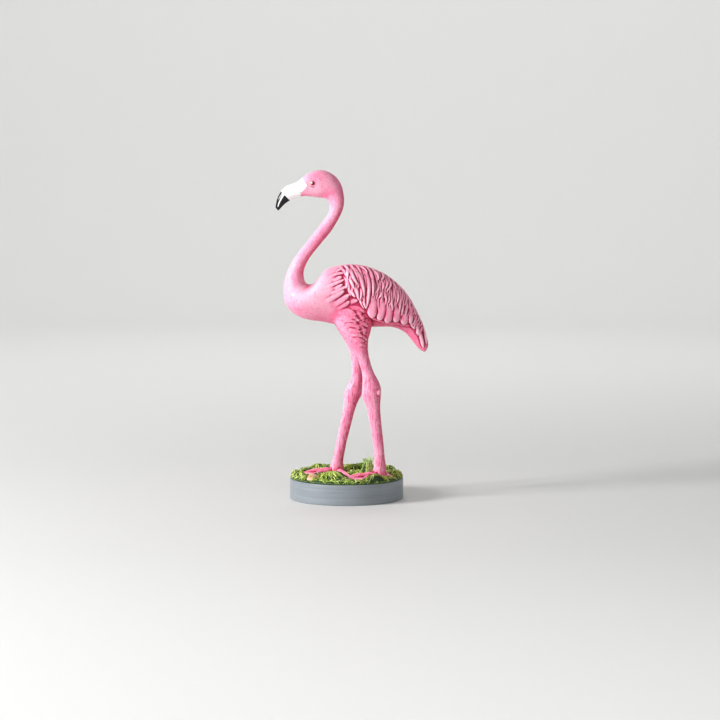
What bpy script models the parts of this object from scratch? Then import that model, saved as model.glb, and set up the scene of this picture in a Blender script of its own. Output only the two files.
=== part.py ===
"""A walking flamingo figurine on a round base. Metres, +Z up.

The bird is one casting: beak, head, neck, body, folded wings, tail, legs and webbed feet. It stands
on the turf, a pad of modelled grass, and the turf lies on the plinth, a turned disc. The bird faces
-X and its left side faces -Y. The origin is the middle of the plinth's underside.

The bird and the grass are drawn in millimetres above the soles, on a figure DRAWN_HEIGHT tall, and
brought to FIGURE_HEIGHT. The turf and the plinth are as wide as the feet that stand on them need.
"""
import bmesh
import bpy
import numpy as np

# Sizes that can be set, in metres
FIGURE_HEIGHT = 0.268         # from the soles to the crown
PLINTH_HEIGHT = 0.018
PLINTH_EDGE = 0.0008          # bevel on the plinth's two rims
TOE_MARGIN = 0.0052           # plinth left outside the furthest toe
TURF_THICKNESS = 0.0016       # trodden ground, under the feet
TURF_SETBACK = 0.0007         # plinth's rim left bare round the turf
JOINT_GAP = 0.0003            # between pieces that touch

DRAWN_HEIGHT = 268.0
UNIT = FIGURE_HEIGHT / DRAWN_HEIGHT
TURF_TOP = PLINTH_HEIGHT + JOINT_GAP + TURF_THICKNESS
SOLE = TURF_TOP + JOINT_GAP

# From here on, lengths are in drawn millimetres.
# Grids on which overlapping forms are melted into one skin, and the faces that are kept of it
BIRD_GRID = 0.8
BIRD_FACES = 6500
DETAIL_KEPT = 0.02            # how strongly the carved parts hold on to their faces
TURF_GRID = 0.6
TURF_FACES = 2900

# Ribs of the bird from beak tip to tail tip, in its plane of symmetry: the end on the back
# (x, z), the end on the throat, breast or belly (x, z), and half the width across
BEAK = [(-62.4, 235.8, -59.6, 232.8, 1.3), (-60.2, 244.9, -53.8, 238.9, 3.2),
        (-53.7, 253.9, -46.5, 243.3, 4.7), (-42.9, 258.3, -39.0, 245.6, 6.0)]
HEAD = [(-39.0, 261.5, -35.0, 245.8, 7.2), (-33.4, 265.6, -30.3, 245.4, 8.5),
        (-26.5, 268.0, -25.0, 244.6, 9.1), (-18.9, 268.0, -20.6, 244.2, 8.9),
        (-11.2, 264.3, -17.2, 243.2, 8.2), (-5.7, 258.0, -15.5, 240.8, 7.3)]
NECK = [(-2.8, 249.6, -14.6, 238.2, 6.6), (-2.0, 240.3, -14.7, 235.4, 6.2),
        (-3.9, 232.2, -16.0, 230.6, 6.0), (-12.6, 216.4, -21.8, 222.6, 5.7),
        (-22.8, 203.9, -31.0, 210.4, 5.7), (-33.3, 190.3, -42.5, 196.3, 6.1),
        (-37.4, 180.6, -49.6, 185.0, 7.2), (-37.5, 175.0, -53.5, 175.4, 9.0)]
BREAST = [(-35.9, 170.2, -55.3, 165.5, 11.4), (-32.6, 168.5, -54.6, 154.5, 14.2),
          (-28.4, 169.8, -49.7, 146.1, 16.6), (-24.0, 174.5, -42.1, 140.5, 18.4),
          (-18.5, 181.2, -33.4, 137.5, 19.6)]
BODY = [(-11.4, 184.1, -23.1, 136.0, 20.2), (-2.5, 185.7, -11.7, 133.5, 20.4),
        (7.2, 186.1, 0.5, 131.3, 20.2), (26.6, 180.9, 23.3, 131.2, 18.2),
        (43.3, 170.4, 40.9, 130.9, 14.8), (55.5, 156.9, 51.5, 126.2, 11.0)]
TAIL = [(62.5, 142.6, 57.8, 119.0, 8.0), (68.7, 128.4, 63.2, 112.2, 5.6),
        (71.9, 115.0, 68.5, 109.0, 3.4), (70.9, 111.6, 69.7, 109.6, 1.5)]
RIB_EGG = 0.10                # ribs are this much fuller above than below

# A folded wing, from shoulder to tail: its upper edge (x, z), its lower edge (x, z), how far its
# middle stands from the plane of symmetry, and half its thickness
WING = [(-7.0, 174.0, -6.0, 163.0, 15.0, 3.0), (3.0, 180.0, 7.0, 151.0, 15.0, 6.2),
        (18.0, 176.0, 20.0, 140.0, 13.5, 7.4), (32.0, 168.0, 33.5, 135.0, 11.5, 7.2),
        (45.0, 158.0, 46.0, 133.0, 8.8, 6.4), (56.0, 146.0, 57.0, 130.0, 6.0, 5.2),
        (64.0, 132.0, 63.5, 121.0, 3.4, 3.6)]

# Legs from inside the body down to the sole: x, y, z, half the depth fore and aft, half the width
LEFT_LEG = [(3.0, -7.5, 160.0, 10.0, 8.0), (4.0, -8.3, 150.0, 14.5, 10.4), (5.2, -9.0, 139.5, 16.8, 10.8),
            (7.4, -9.6, 129.5, 14.2, 10.0), (9.4, -10.0, 120.5, 9.9, 8.8), (12.0, -10.4, 113.0, 6.8, 7.2),
            (14.4, -10.6, 105.5, 5.3, 5.8), (16.5, -10.7, 98.5, 4.9, 5.3), (18.9, -11.0, 91.5, 5.3, 5.5),
            (21.3, -11.4, 83.0, 7.4, 6.5), (21.9, -11.7, 76.0, 8.5, 7.0), (22.0, -12.0, 70.0, 7.9, 6.8),
            (23.3, -12.4, 61.5, 6.2, 5.8), (24.9, -13.0, 51.0, 5.3, 5.2), (27.5, -14.0, 32.0, 4.7, 4.8),
            (28.8, -14.6, 20.0, 4.5, 4.7), (29.2, -15.2, 11.5, 4.9, 5.0), (28.9, -15.7, 5.5, 6.2, 6.0),
            (28.5, -16.0, 1.0, 7.6, 7.2)]
RIGHT_LEG = [(1.0, 7.5, 160.0, 10.0, 8.0), (2.0, 8.3, 150.0, 14.5, 10.4), (3.2, 9.0, 139.0, 16.4, 10.8),
             (5.4, 9.3, 128.0, 13.6, 10.0), (7.5, 9.6, 118.0, 9.6, 8.8), (8.3, 9.8, 110.0, 6.0, 7.0),
             (8.8, 10.0, 103.0, 5.0, 5.8), (9.5, 10.0, 92.0, 4.9, 5.3), (8.8, 10.0, 83.0, 5.5, 5.6),
             (6.8, 10.0, 76.5, 7.1, 6.6), (5.3, 10.0, 70.0, 7.7, 7.0), (3.7, 10.0, 64.0, 6.3, 6.2),
             (1.8, 10.0, 56.0, 5.3, 5.5), (-2.4, 10.0, 38.5, 4.9, 5.0), (-6.1, 10.0, 20.5, 4.5, 4.7),
             (-8.0, 10.0, 11.5, 4.9, 5.0), (-9.1, 10.0, 5.5, 6.2, 6.0), (-9.6, 10.0, 1.0, 7.6, 7.2)]

# Feet: the middle toe's heading in degrees (180 points the way the bird walks), the hind toe's
# heading, and the hind toe's reach
LEFT_FOOT = (208.0, 346.0, 12.5)
RIGHT_FOOT = (190.0, 298.0, 27.0)
MIDDLE_TOE = 32.0             # reach of the middle toe from the ankle
SIDE_TOE = 28.0               # and of the toes beside it
TOE_SPREAD = 26.0             # degrees between two toes
TOE_ROOT = 2.9                # half thickness of a toe at the ankle
TOE_TIP = 1.3                 # and at its end
WEB_TOP = 1.8                 # the web's thickness
WEB_NOTCH = 0.80              # how far out the web reaches between two toes, as a share

EYE = (-29.9, 7.9, 257.0)     # on the bird's right; the left one is mirrored
EYE_RADIUS = 2.4


def row(roots, tips, count, half, lift, bow, point):
    """One row of feathers in the side view: the line of their roots, the line of their tips, how many
    stand side by side, half their width, how far their tips rise, their bow towards the tail as a
    share of their length, and where along them the tip starts to round off."""
    return dict(roots=roots, tips=tips, count=count, half=half, lift=lift, bow=bow, point=point)


FLANK_FRONT = row([(-7, 148), (-5, 138.5), (0, 128), (5, 118)], [(5, 149), (7.5, 140.5), (10, 129), (12.5, 118.5)],
                  count=5, half=2.8, lift=1.2, bow=0.10, point=0.55)
FLANK_BACK = row([(2, 148), (5, 138.5), (8.5, 128)], [(15.5, 147.5), (17, 137), (18, 126.5)],
                 count=4, half=2.8, lift=1.2, bow=0.10, point=0.55)
TAIL_ROW = row([(52, 154.5), (57, 154.5)], [(63.5, 112.5), (70.8, 113.5)],
               count=3, half=2.2, lift=0.9, bow=0.06, point=0.75)
LOWER_ROW = row([(20, 158), (36, 154.5), (53.5, 145.5)], [(20.5, 139.5), (35, 134.5), (57, 132)],
                count=6, half=3.4, lift=2.2, bow=0.08, point=0.80)
MIDDLE_ROW = row([(12, 171), (32.5, 165), (49, 156)], [(16.5, 147.5), (39.5, 145), (54, 138)],
                 count=7, half=2.9, lift=2.2, bow=0.12, point=0.74)
UPPER_ROW = row([(-3, 183), (6.5, 184.5), (22, 181), (37, 172), (48.5, 161.5)],
                [(3, 168), (16, 159), (30, 157), (39.5, 153.5), (50, 146.5)],
                count=9, half=2.9, lift=2.0, bow=0.14, point=0.72)
BACK_ROW = row([(17, 185), (36, 175.5), (50, 163), (59, 150)], [(26.5, 176), (43, 165), (54.5, 153.5), (62.5, 137)],
               count=7, half=2.4, lift=1.4, bow=0.10, point=0.6)
ELBOW = row([(-2, 172), (0.5, 151)], [(3, 169), (9, 158)], count=4, half=2.5, lift=1.4, bow=0.05, point=0.5)
SHOULDER_BACK = row([(-9, 179), (-10, 165), (-7.5, 152)], [(-1, 179), (0, 169), (3, 161)],
                    count=6, half=2.1, lift=1.4, bow=0.04, point=0.45)
SHOULDER_FRONT = row([(-17, 178), (-18, 166), (-15.5, 155)], [(-4.5, 182), (-4, 172), (-4, 162)],
                     count=5, half=2.1, lift=1.3, bow=0.04, point=0.45)
FEATHER_ROWS = [FLANK_FRONT, FLANK_BACK, TAIL_ROW, LOWER_ROW, MIDDLE_ROW, UPPER_ROW, BACK_ROW,
                ELBOW, SHOULDER_BACK, SHOULDER_FRONT]

# Grass tufts: middle (x, y), spread, height above the trodden ground, and number of blades
TUFTS = [(-11.0, -31.0, 14.0, 8.0, 15), (24.0, -36.5, 10.0, 6.0, 11), (41.0, -6.0, 8.0, 5.0, 8),
         (-41.0, -15.0, 8.0, 4.5, 8), (19.0, 5.0, 6.5, 14.0, 9), (5.0, 21.0, 10.0, 7.0, 11),
         (-25.0, 35.0, 10.0, 5.0, 10), (14.0, 37.0, 9.0, 5.5, 10), (35.0, 22.0, 10.0, 6.0, 11)]
PEBBLE = (-30.0, -33.5, 6.2, 6.0)   # middle (x, y), radius and height
BLADE_ROOT = 1.25             # half thickness of a blade where it grows
BLADE_TIP = 0.7               # and at its tip
BLADE_RISE = 1.0              # how far a blade's middle stands over the mound under it
BLADE_SWIRL = 35.0            # degrees a blade turns round its tuft
MOUND = 0.8                   # height of the mound under a tuft, as a share of the tuft's
FOOT_CLEARANCE = 0.9          # bare ground kept round each foot


def smooth_rows(rows, count):
    """Carry a table of stations through a smooth curve: a cubic in every column."""
    table = np.array(rows, float)
    steps = np.sqrt(np.linalg.norm(np.diff(table[:, :3], axis=0), axis=1))
    knots = np.concatenate([[0.0], np.cumsum(steps)])
    slopes = np.gradient(table, knots, axis=0)
    where = np.linspace(0.0, knots[-1], count)
    span = np.clip(np.searchsorted(knots, where, side="right") - 1, 0, len(knots) - 2)
    width = (knots[span + 1] - knots[span])[:, None]
    t = (where - knots[span])[:, None] / width
    return (table[span] * (2 * t ** 3 - 3 * t ** 2 + 1) + slopes[span] * width * (t ** 3 - 2 * t ** 2 + t)
            + table[span + 1] * (3 * t ** 2 - 2 * t ** 3) + slopes[span + 1] * width * (t ** 3 - t ** 2))


def circle(sides):
    """The cosines and sines of a full turn."""
    turn = np.linspace(0.0, 2 * np.pi, sides, endpoint=False)
    return np.cos(turn), np.sin(turn)


def skin(rings):
    """Vertices and faces of a closed tube through an array of rings, with a fan on each end."""
    count, sides = rings.shape[:2]
    points = np.concatenate([rings.reshape(-1, 3), rings[:1].mean(axis=1), rings[-1:].mean(axis=1)])
    faces = []
    for i in range(count - 1):
        for j in range(sides):
            k = (j + 1) % sides
            faces.append((i * sides + j, i * sides + k, (i + 1) * sides + k, (i + 1) * sides + j))
    first, last = count * sides, count * sides + 1
    base = (count - 1) * sides
    for j in range(sides):
        k = (j + 1) % sides
        faces.append((first, k, j))
        faces.append((last, base + j, base + k))
    return points, faces


def plate(outline, low, high):
    """A closed flat plate between two heights, inside one outline."""
    count = len(outline)
    points = np.concatenate([np.column_stack([outline, np.full(count, z)]) for z in (low, high)])
    faces = [tuple(range(count))[::-1], tuple(range(count, 2 * count))]
    faces += [(i, (i + 1) % count, (i + 1) % count + count, i + count) for i in range(count)]
    return points, faces


def trunk():
    """Beak, head, neck, body and tail: egg-shaped ribs carried from beak tip to tail tip."""
    ribs = smooth_rows(BEAK + HEAD + NECK + BREAST + BODY + TAIL, 190)
    rise, aside = circle(48)
    back, front = ribs[:, None, 0:2], ribs[:, None, 2:4]
    plane = (back + front) / 2 + (back - front) / 2 * rise[None, :, None]
    across = ribs[:, None, 4] * aside * (1 + RIB_EGG * rise)
    return skin(np.stack([plane[..., 0], across, plane[..., 1]], axis=2))


def wing(side):
    """A folded wing: lens-shaped ribs carried from the shoulder to the tail."""
    ribs = smooth_rows(WING, 60)
    rise, aside = circle(32)
    upper, lower = ribs[:, None, 0:2], ribs[:, None, 2:4]
    plane = (upper + lower) / 2 + (upper - lower) / 2 * rise[None, :, None]
    across = side * (ribs[:, None, 4] + ribs[:, None, 5] * aside * side)
    return skin(np.stack([plane[..., 0], across, plane[..., 1]], axis=2))


def leg(stations):
    """A leg: level oval sections down a smooth path."""
    path = smooth_rows(stations, 80)
    ahead, aside = circle(24)
    x = path[:, None, 0] + path[:, None, 3] * ahead
    y = path[:, None, 1] - path[:, None, 4] * aside
    return skin(np.stack([x, y, np.broadcast_to(path[:, None, 2], x.shape)], axis=2))


def heading(degrees):
    return np.array([np.cos(np.radians(degrees)), np.sin(np.radians(degrees))])


def toes_of(foot):
    """Heading and reach of the four toes of one foot, the hind toe last."""
    ahead, hind, hind_reach = foot
    return [(ahead - TOE_SPREAD, SIDE_TOE), (ahead, MIDDLE_TOE), (ahead + TOE_SPREAD, SIDE_TOE), (hind, hind_reach)]


def toe(ankle, direction, reach):
    """A toe: a round bar on the ground that tapers from the ankle to a blunt end."""
    ahead = heading(direction)
    aside = np.array([-ahead[1], ahead[0]])
    along = np.sin(np.linspace(0.0, np.pi / 2, 12))
    right, up = circle(16)
    size = (TOE_ROOT + (TOE_TIP - TOE_ROOT) * along) * np.sqrt(1.02 - along ** 8)
    middle = np.array(ankle) + np.outer(along, ahead) * reach
    flat = middle[:, None, :] - (size[:, None] * right)[..., None] * aside
    height = size[:, None] * (1.0 + up)
    return skin(np.concatenate([flat, height[..., None]], axis=2))


def web(ankle, foot):
    """The skin between the front toes: a thin plate with a notched front edge."""
    front = toes_of(foot)[:3]
    edge = [np.zeros(2)]
    for (turn, reach), (next_turn, next_reach) in zip(front, front[1:]):
        edge.append(heading(turn) * reach * 0.96)
        edge.append(heading((turn + next_turn) / 2) * (reach + next_reach) / 2 * WEB_NOTCH)
    edge.append(heading(front[-1][0]) * front[-1][1] * 0.96)
    return plate(np.array(edge) + np.array(ankle), 0.0, WEB_TOP)


def ball(middle, radius):
    """A sphere, as level rings."""
    rise = np.linspace(-0.98, 0.98, 9) * np.pi / 2
    ahead, aside = circle(16)
    x = middle[0] + radius * np.cos(rise)[:, None] * ahead
    y = middle[1] + radius * np.cos(rise)[:, None] * aside
    z = np.broadcast_to(middle[2] + radius * np.sin(rise)[:, None], x.shape)
    return skin(np.stack([x, y, z], axis=2))


def new_mesh(name, parts):
    """One mesh from several (points, faces) pairs, which may lie through each other."""
    points, faces, start = [], [], 0
    for part_points, part_faces in parts:
        points.append(part_points)
        faces += [tuple(start + i for i in face) for face in part_faces]
        start += len(part_points)
    mesh = bpy.data.meshes.new(name)
    mesh.from_pydata(np.concatenate(points).tolist(), [], faces)
    return mesh


def paint(name, colour, roughness):
    material = bpy.data.materials.new(name)
    material.use_nodes = True
    shader = material.node_tree.nodes["Principled BSDF"]
    shader.inputs["Base Color"].default_value = (*colour, 1.0)
    shader.inputs["Roughness"].default_value = roughness
    return material


def add_object(name, mesh, material):
    item = bpy.data.objects.new(name, mesh)
    bpy.context.scene.collection.objects.link(item)
    mesh.materials.clear()
    mesh.materials.append(material)
    return item


def melt_together(name, parts, grid):
    """One closed skin round all the parts, on an even grid, without stray crumbs."""
    rough = bpy.data.objects.new(name, new_mesh(name, parts))
    bpy.context.scene.collection.objects.link(rough)
    remesh = rough.modifiers.new("melt", "REMESH")
    remesh.mode = "VOXEL"
    remesh.voxel_size = grid
    mesh = bpy.data.meshes.new_from_object(rough.evaluated_get(bpy.context.evaluated_depsgraph_get()))
    bpy.data.objects.remove(rough)
    keep_largest(mesh)
    mesh.shade_smooth()
    return mesh


def keep_largest(mesh):
    """Drop every loose shell but the largest."""
    ends = edge_ends(mesh)
    group = np.arange(len(mesh.vertices))
    changed = True
    while changed:
        before = group.copy()
        np.minimum.at(group, ends[0], group[ends[1]])
        np.minimum.at(group, ends[1], group[ends[0]])
        group = group[group]
        changed = bool((group != before).any())
    names, sizes = np.unique(group, return_counts=True)
    stray = np.where(group != names[sizes.argmax()])[0]
    cleaner = bmesh.new()
    cleaner.from_mesh(mesh)
    cleaner.verts.ensure_lookup_table()
    bmesh.ops.delete(cleaner, geom=[cleaner.verts[i] for i in stray], context="VERTS")
    cleaner.to_mesh(mesh)
    cleaner.free()


def edge_ends(mesh):
    ends = np.empty(len(mesh.edges) * 2, np.int32)
    mesh.edges.foreach_get("vertices", ends)
    return ends.reshape(-1, 2).T


def read_points(mesh):
    points = np.empty(len(mesh.vertices) * 3, np.float32)
    mesh.vertices.foreach_get("co", points)
    return points.reshape(-1, 3).astype(float)


def read_normals(mesh):
    normals = np.empty(len(mesh.vertices) * 3, np.float32)
    mesh.vertex_normals.foreach_get("vector", normals)
    return normals.reshape(-1, 3).astype(float)


def write_points(mesh, points):
    mesh.vertices.foreach_set("co", points.astype(np.float32).ravel())
    mesh.update()


def relax(mesh, rounds, share):
    """Soften creases: move each point by a share of the way to its neighbours' mean."""
    a, b = edge_ends(mesh)
    points = read_points(mesh)
    degree = np.bincount(np.concatenate([a, b]), minlength=len(points))[:, None]
    for _ in range(rounds):
        total = np.column_stack([np.bincount(a, points[b, k], len(points))
                                 + np.bincount(b, points[a, k], len(points)) for k in range(3)])
        points += (total / degree - points) * share
    write_points(mesh, points)


def thigh_crease(points):
    """Where the thighs run into the belly: 1 in the crease, fading to 0 over a few millimetres."""
    x, z = points[:, 0], points[:, 2]
    fore = np.clip((x + 26.0) / 6.0, 0.0, 1.0) * np.clip((22.0 - x) / 5.0, 0.0, 1.0)
    level = np.clip((z - 114.0) / 8.0, 0.0, 1.0) * np.clip((164.0 - z) / 8.0, 0.0, 1.0)
    return (fore * level)[:, None]


def line_through(corners, count):
    """Points spread evenly along a line through a few corners."""
    corners = np.array(corners, float)
    run = np.concatenate([[0.0], np.cumsum(np.linalg.norm(np.diff(corners, axis=0), axis=1))])
    where = (np.arange(count) + 0.5) / count * run[-1]
    return np.column_stack([np.interp(where, run, corners[:, k]) for k in range(2)])


def feather_ribs(feathers):
    """The midribs of one row in the side view: arcs from root to tip, bowed towards the tail."""
    roots = line_through(feathers["roots"], feathers["count"])
    tips = line_through(feathers["tips"], feathers["count"])
    chord = tips - roots
    aside = np.column_stack([-chord[:, 1], chord[:, 0]])
    t = np.linspace(0.0, 1.0, 9)[:, None, None]
    ribs = roots + chord * t + aside * (4 * feathers["bow"] * t * (1 - t))
    return ribs.transpose(1, 0, 2)


def lay_on_side(ribs, points, side):
    """Lift midribs from the side view onto the outermost skin of one side."""
    facing = points[points[:, 1] * side > 0.0]
    laid = []
    for mark in ribs.reshape(-1, 2):
        away = np.hypot(facing[:, 0] - mark[0], facing[:, 2] - mark[1])
        close = away < max(away.min() + 0.5, BIRD_GRID)
        laid.append((mark[0], side * np.abs(facing[close, 1]).max(), mark[1]))
    return np.array(laid).reshape(*ribs.shape[:2], 3)


def feather_relief(points, normals, rib, feathers):
    """Height of one feather over the skin: rising from root to tip, round across, cut off at its edge."""
    reach = np.linalg.norm(rib[-1] - rib[0])
    span = reach * 0.6 + 2 * feathers["half"]
    near = np.where(np.linalg.norm(points - rib.mean(axis=0), axis=1) < span)[0]
    spots, outward = points[near], normals[near]
    best = np.full(len(near), np.inf)
    place = np.zeros(len(near))
    for i in range(len(rib) - 1):
        step = rib[i + 1] - rib[i]
        low = 0.0 if i else -0.5
        high = 1.0 if i < len(rib) - 2 else 1.5
        t = np.clip(((spots - rib[i]) @ step) / (step @ step), low, high)
        gap = spots - rib[i] - t[:, None] * step
        gap -= (gap * outward).sum(axis=1)[:, None] * outward
        distance = np.linalg.norm(gap, axis=1)
        closer = distance < best
        best[closer] = distance[closer]
        place[closer] = (i + t[closer]) / (len(rib) - 1)
    round_end = np.clip((place - feathers["point"]) / (1.0 - feathers["point"]), 0.0, 1.0)
    half = feathers["half"] * (0.75 + 0.5 * np.clip(place, 0.0, 0.5)) * np.sqrt(1 - round_end ** 2 + 1e-6)
    inside = (best < half) & (place > -0.04) & (place < 1.0)
    across = np.clip(best / half, 0.0, 1.0)
    height = feathers["lift"] * (0.25 + 0.75 * np.clip(place, 0.0, 1.0)) * np.sqrt(1 - across ** 2)
    return near[inside], height[inside]


def carve_feathers(mesh):
    """Raise every feather row on both sides of the bird."""
    points, normals = read_points(mesh), read_normals(mesh)
    rise = np.zeros(len(points))
    for feathers in FEATHER_ROWS:
        ribs = feather_ribs(feathers)
        for side in (-1, 1):
            outward = points[:, 1] * side > -0.4
            for rib in lay_on_side(ribs, points, side):
                which, height = feather_relief(points, normals, rib, feathers)
                keep = outward[which]
                rise[which[keep]] = np.maximum(rise[which[keep]], height[keep])
    write_points(mesh, points + normals * rise[:, None])


def flatten(mesh, below, level):
    """Press everything lower than one height onto a flat plane."""
    points = read_points(mesh)
    points[points[:, 2] < below, 2] = level
    write_points(mesh, points)


def bring_to_size(mesh, floor):
    """Turn drawn millimetres above a floor into metres."""
    points = read_points(mesh) * UNIT
    points[:, 2] += floor
    write_points(mesh, points)


def thin_out(mesh, faces, plain=None):
    """The same form in about so many triangles, fewer of them on the points marked as plain."""
    thick = bpy.data.objects.new("thick", mesh)
    bpy.context.scene.collection.objects.link(thick)
    thin = thick.modifiers.new("fewer_faces", "DECIMATE")
    thin.ratio = min(1.0, faces / (2 * len(mesh.polygons)))
    thin.use_collapse_triangulate = True
    if plain is not None:
        group = thick.vertex_groups.new(name="weight")
        group.add(np.where(plain)[0].tolist(), 1.0, "REPLACE")
        group.add(np.where(~plain)[0].tolist(), 0.5, "REPLACE")
        thin.vertex_group = group.name
        thin.vertex_group_factor = DETAIL_KEPT
    kept = bpy.data.meshes.new_from_object(thick.evaluated_get(bpy.context.evaluated_depsgraph_get()))
    bpy.data.objects.remove(thick)
    return kept


def plumage(points):
    """The points of the bird that carry carved feathers."""
    x, z = points[:, 0], points[:, 2]
    return (x > -20.0) & (z > 108.0) & (z < 190.0)


def make_bird():
    parts = [trunk(), leg(LEFT_LEG), leg(RIGHT_LEG)]
    for stations, foot in ((LEFT_LEG, LEFT_FOOT), (RIGHT_LEG, RIGHT_FOOT)):
        ankle = stations[-1][:2]
        parts.append(web(ankle, foot))
        parts += [toe(ankle, turn, reach) for turn, reach in toes_of(foot)]
    for side in (-1, 1):
        parts.append(wing(side))
        parts.append(ball((EYE[0], EYE[1] * side, EYE[2]), EYE_RADIUS))
    mesh = melt_together("flamingo", parts, BIRD_GRID)
    relax(mesh, 2, 0.5)
    relax(mesh, 30, 0.5 * thigh_crease(read_points(mesh)))
    flatten(mesh, 0.6, 0.0)
    carve_feathers(mesh)
    mesh = thin_out(mesh, BIRD_FACES, ~plumage(read_points(mesh)))
    mesh.shade_smooth()
    bring_to_size(mesh, SOLE)
    add_object("flamingo", mesh, paint("pink", (0.86, 0.33, 0.42), 0.5))


def plinth_radius():
    """The furthest toe's reach from the middle, and the margin outside it."""
    ends = [np.array(stations[-1][:2]) + heading(turn) * reach
            for stations, foot in ((LEFT_LEG, LEFT_FOOT), (RIGHT_LEG, RIGHT_FOOT))
            for turn, reach in toes_of(foot)]
    return max(np.linalg.norm(end) for end in ends) * UNIT + TOE_MARGIN


def foot_distance(x, y):
    """How far a spot on the ground is from the nearest foot; inside a foot it is negative."""
    nearest = np.full(x.shape, np.inf)
    for stations, foot in ((LEFT_LEG, LEFT_FOOT), (RIGHT_LEG, RIGHT_FOOT)):
        across, along = x - stations[-1][0], y - stations[-1][1]
        for turn, reach in toes_of(foot):
            ahead = heading(turn)
            t = np.clip((across * ahead[0] + along * ahead[1]) / reach, 0.0, 1.0) * reach
            gap = np.hypot(across - t * ahead[0], along - t * ahead[1])
            nearest = np.minimum(nearest, gap - TOE_ROOT)
        off_heading = (np.degrees(np.arctan2(along, across)) - foot[0] + 180.0) % 360.0 - 180.0
        on_web = (np.abs(off_heading) < TOE_SPREAD) & (np.hypot(across, along) < MIDDLE_TOE)
        nearest = np.where(on_web, -TOE_ROOT, nearest)
        nearest = np.minimum(nearest, np.hypot(across, along) - stations[-1][3])
    return nearest


def ground(drawn_radius):
    """The pad's ground: a mound under each tuft and the pebble, level at the feet and the rim."""
    out = np.linspace(0.0, drawn_radius, 56)[1:]
    ahead, aside = circle(160)
    x, y = np.outer(out, ahead), np.outer(out, aside)
    height = 0.25 + 0.25 * np.sin(0.9 * x + 1.3) * np.sin(1.1 * y)
    for cx, cy, spread, tall, _ in TUFTS:
        dome = 1 - ((x - cx) ** 2 + (y - cy) ** 2) / spread ** 2
        height = np.maximum(height, MOUND * tall * np.clip(dome, 0.0, 1.0))
    cx, cy, radius, tall = PEBBLE
    height = np.maximum(height, tall * np.sqrt(np.clip(1 - ((x - cx) ** 2 + (y - cy) ** 2) / radius ** 2, 0, 1)))
    height *= np.clip((foot_distance(x, y) - FOOT_CLEARANCE) / 1.5, 0.0, 1.0)
    height *= np.clip((drawn_radius - np.hypot(x, y)) / 2.0, 0.0, 1.0)
    thickness = TURF_THICKNESS / UNIT
    top = np.stack([x, y, thickness + height], axis=2)
    wall = top[-1:] * np.array([1.0, 1.0, 0.0])
    return skin(np.concatenate([wall, top[::-1]]))


def blade(path):
    """A blade of grass: a tapered bar along a path."""
    along = np.gradient(path, axis=0)
    along /= np.linalg.norm(along, axis=1)[:, None]
    aside = np.cross(along, (0.0, 0.0, 1.0))
    aside /= np.linalg.norm(aside, axis=1)[:, None]
    above = np.cross(aside, along)
    right, up = circle(8)
    size = np.linspace(BLADE_ROOT, BLADE_TIP, len(path))[:, None]
    ring = aside[:, None] * right[None, :, None] + above[:, None] * up[None, :, None]
    return skin(path[:, None] + ring * size[:, None])


def tuft_blades(tuft, drawn_radius):
    """Blades combed over a tuft's mound, from its crown down and round to its edge; none lies over a
    foot or the rim."""
    cx, cy, spread, tall, count = tuft
    t = np.linspace(0.0, 1.0, 8)
    blades = []
    for i in range(count):
        start = 0.10 + 0.45 * (0.618 * i % 1.0)
        share = start + (min(start + 0.62, 1.0) - start) * t
        turn = np.radians(137.5 * i + BLADE_SWIRL * t)
        x = cx + spread * share * np.cos(turn)
        y = cy + spread * share * np.sin(turn)
        z = TURF_THICKNESS / UNIT + MOUND * tall * (1.0 - share ** 2) + BLADE_RISE * (1.0 - t ** 3)
        clear = foot_distance(x, y).min() > FOOT_CLEARANCE + BLADE_ROOT
        if clear and np.hypot(x, y).max() < drawn_radius - BLADE_ROOT - 0.4:
            blades.append(blade(np.column_stack([x, y, z])))
    return blades


def make_turf(radius):
    drawn_radius = radius / UNIT
    parts = [ground(drawn_radius)]
    for tuft in TUFTS:
        parts += tuft_blades(tuft, drawn_radius)
    mesh = melt_together("turf", parts, TURF_GRID)
    thickness = TURF_THICKNESS / UNIT
    points = read_points(mesh)
    trodden = foot_distance(points[:, 0], points[:, 1]) < FOOT_CLEARANCE
    points[trodden, 2] = np.minimum(points[trodden, 2], thickness)
    write_points(mesh, points)
    flatten(mesh, 0.4 * thickness, 0.0)
    mesh = thin_out(mesh, TURF_FACES)
    mesh.shade_smooth()
    bring_to_size(mesh, PLINTH_HEIGHT + JOINT_GAP)
    add_object("turf", mesh, paint("grass", (0.16, 0.34, 0.04), 0.7))


def make_plinth(radius):
    """A disc turned from one profile, with both rims bevelled."""
    profile = np.array([(radius - PLINTH_EDGE, 0.0), (radius, PLINTH_EDGE),
                        (radius, PLINTH_HEIGHT - PLINTH_EDGE), (radius - PLINTH_EDGE, PLINTH_HEIGHT)])
    ahead, aside = circle(72)
    x, y = np.outer(profile[:, 0], ahead), np.outer(profile[:, 0], aside)
    mesh = new_mesh("plinth", [skin(np.stack([x, y, np.broadcast_to(profile[:, 1:], x.shape)], axis=2))])
    mesh.shade_smooth()
    mesh.set_sharp_from_angle(angle=np.radians(30))
    add_object("plinth", mesh, paint("grey", (0.30, 0.31, 0.32), 0.45))


for leftover in list(bpy.data.objects):
    bpy.data.objects.remove(leftover)
make_bird()
make_turf(plinth_radius() - TURF_SETBACK)
make_plinth(plinth_radius())
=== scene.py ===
"""A walking flamingo figurine in painted resin, on a round base with modelled grass.

Metres, +Z up. The bird faces -X and its left side faces -Y. The bird is drawn in millimetres above
its soles and the grass in millimetres above its pad's underside. Both are brought to metres when
their form is done.
"""

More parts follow.
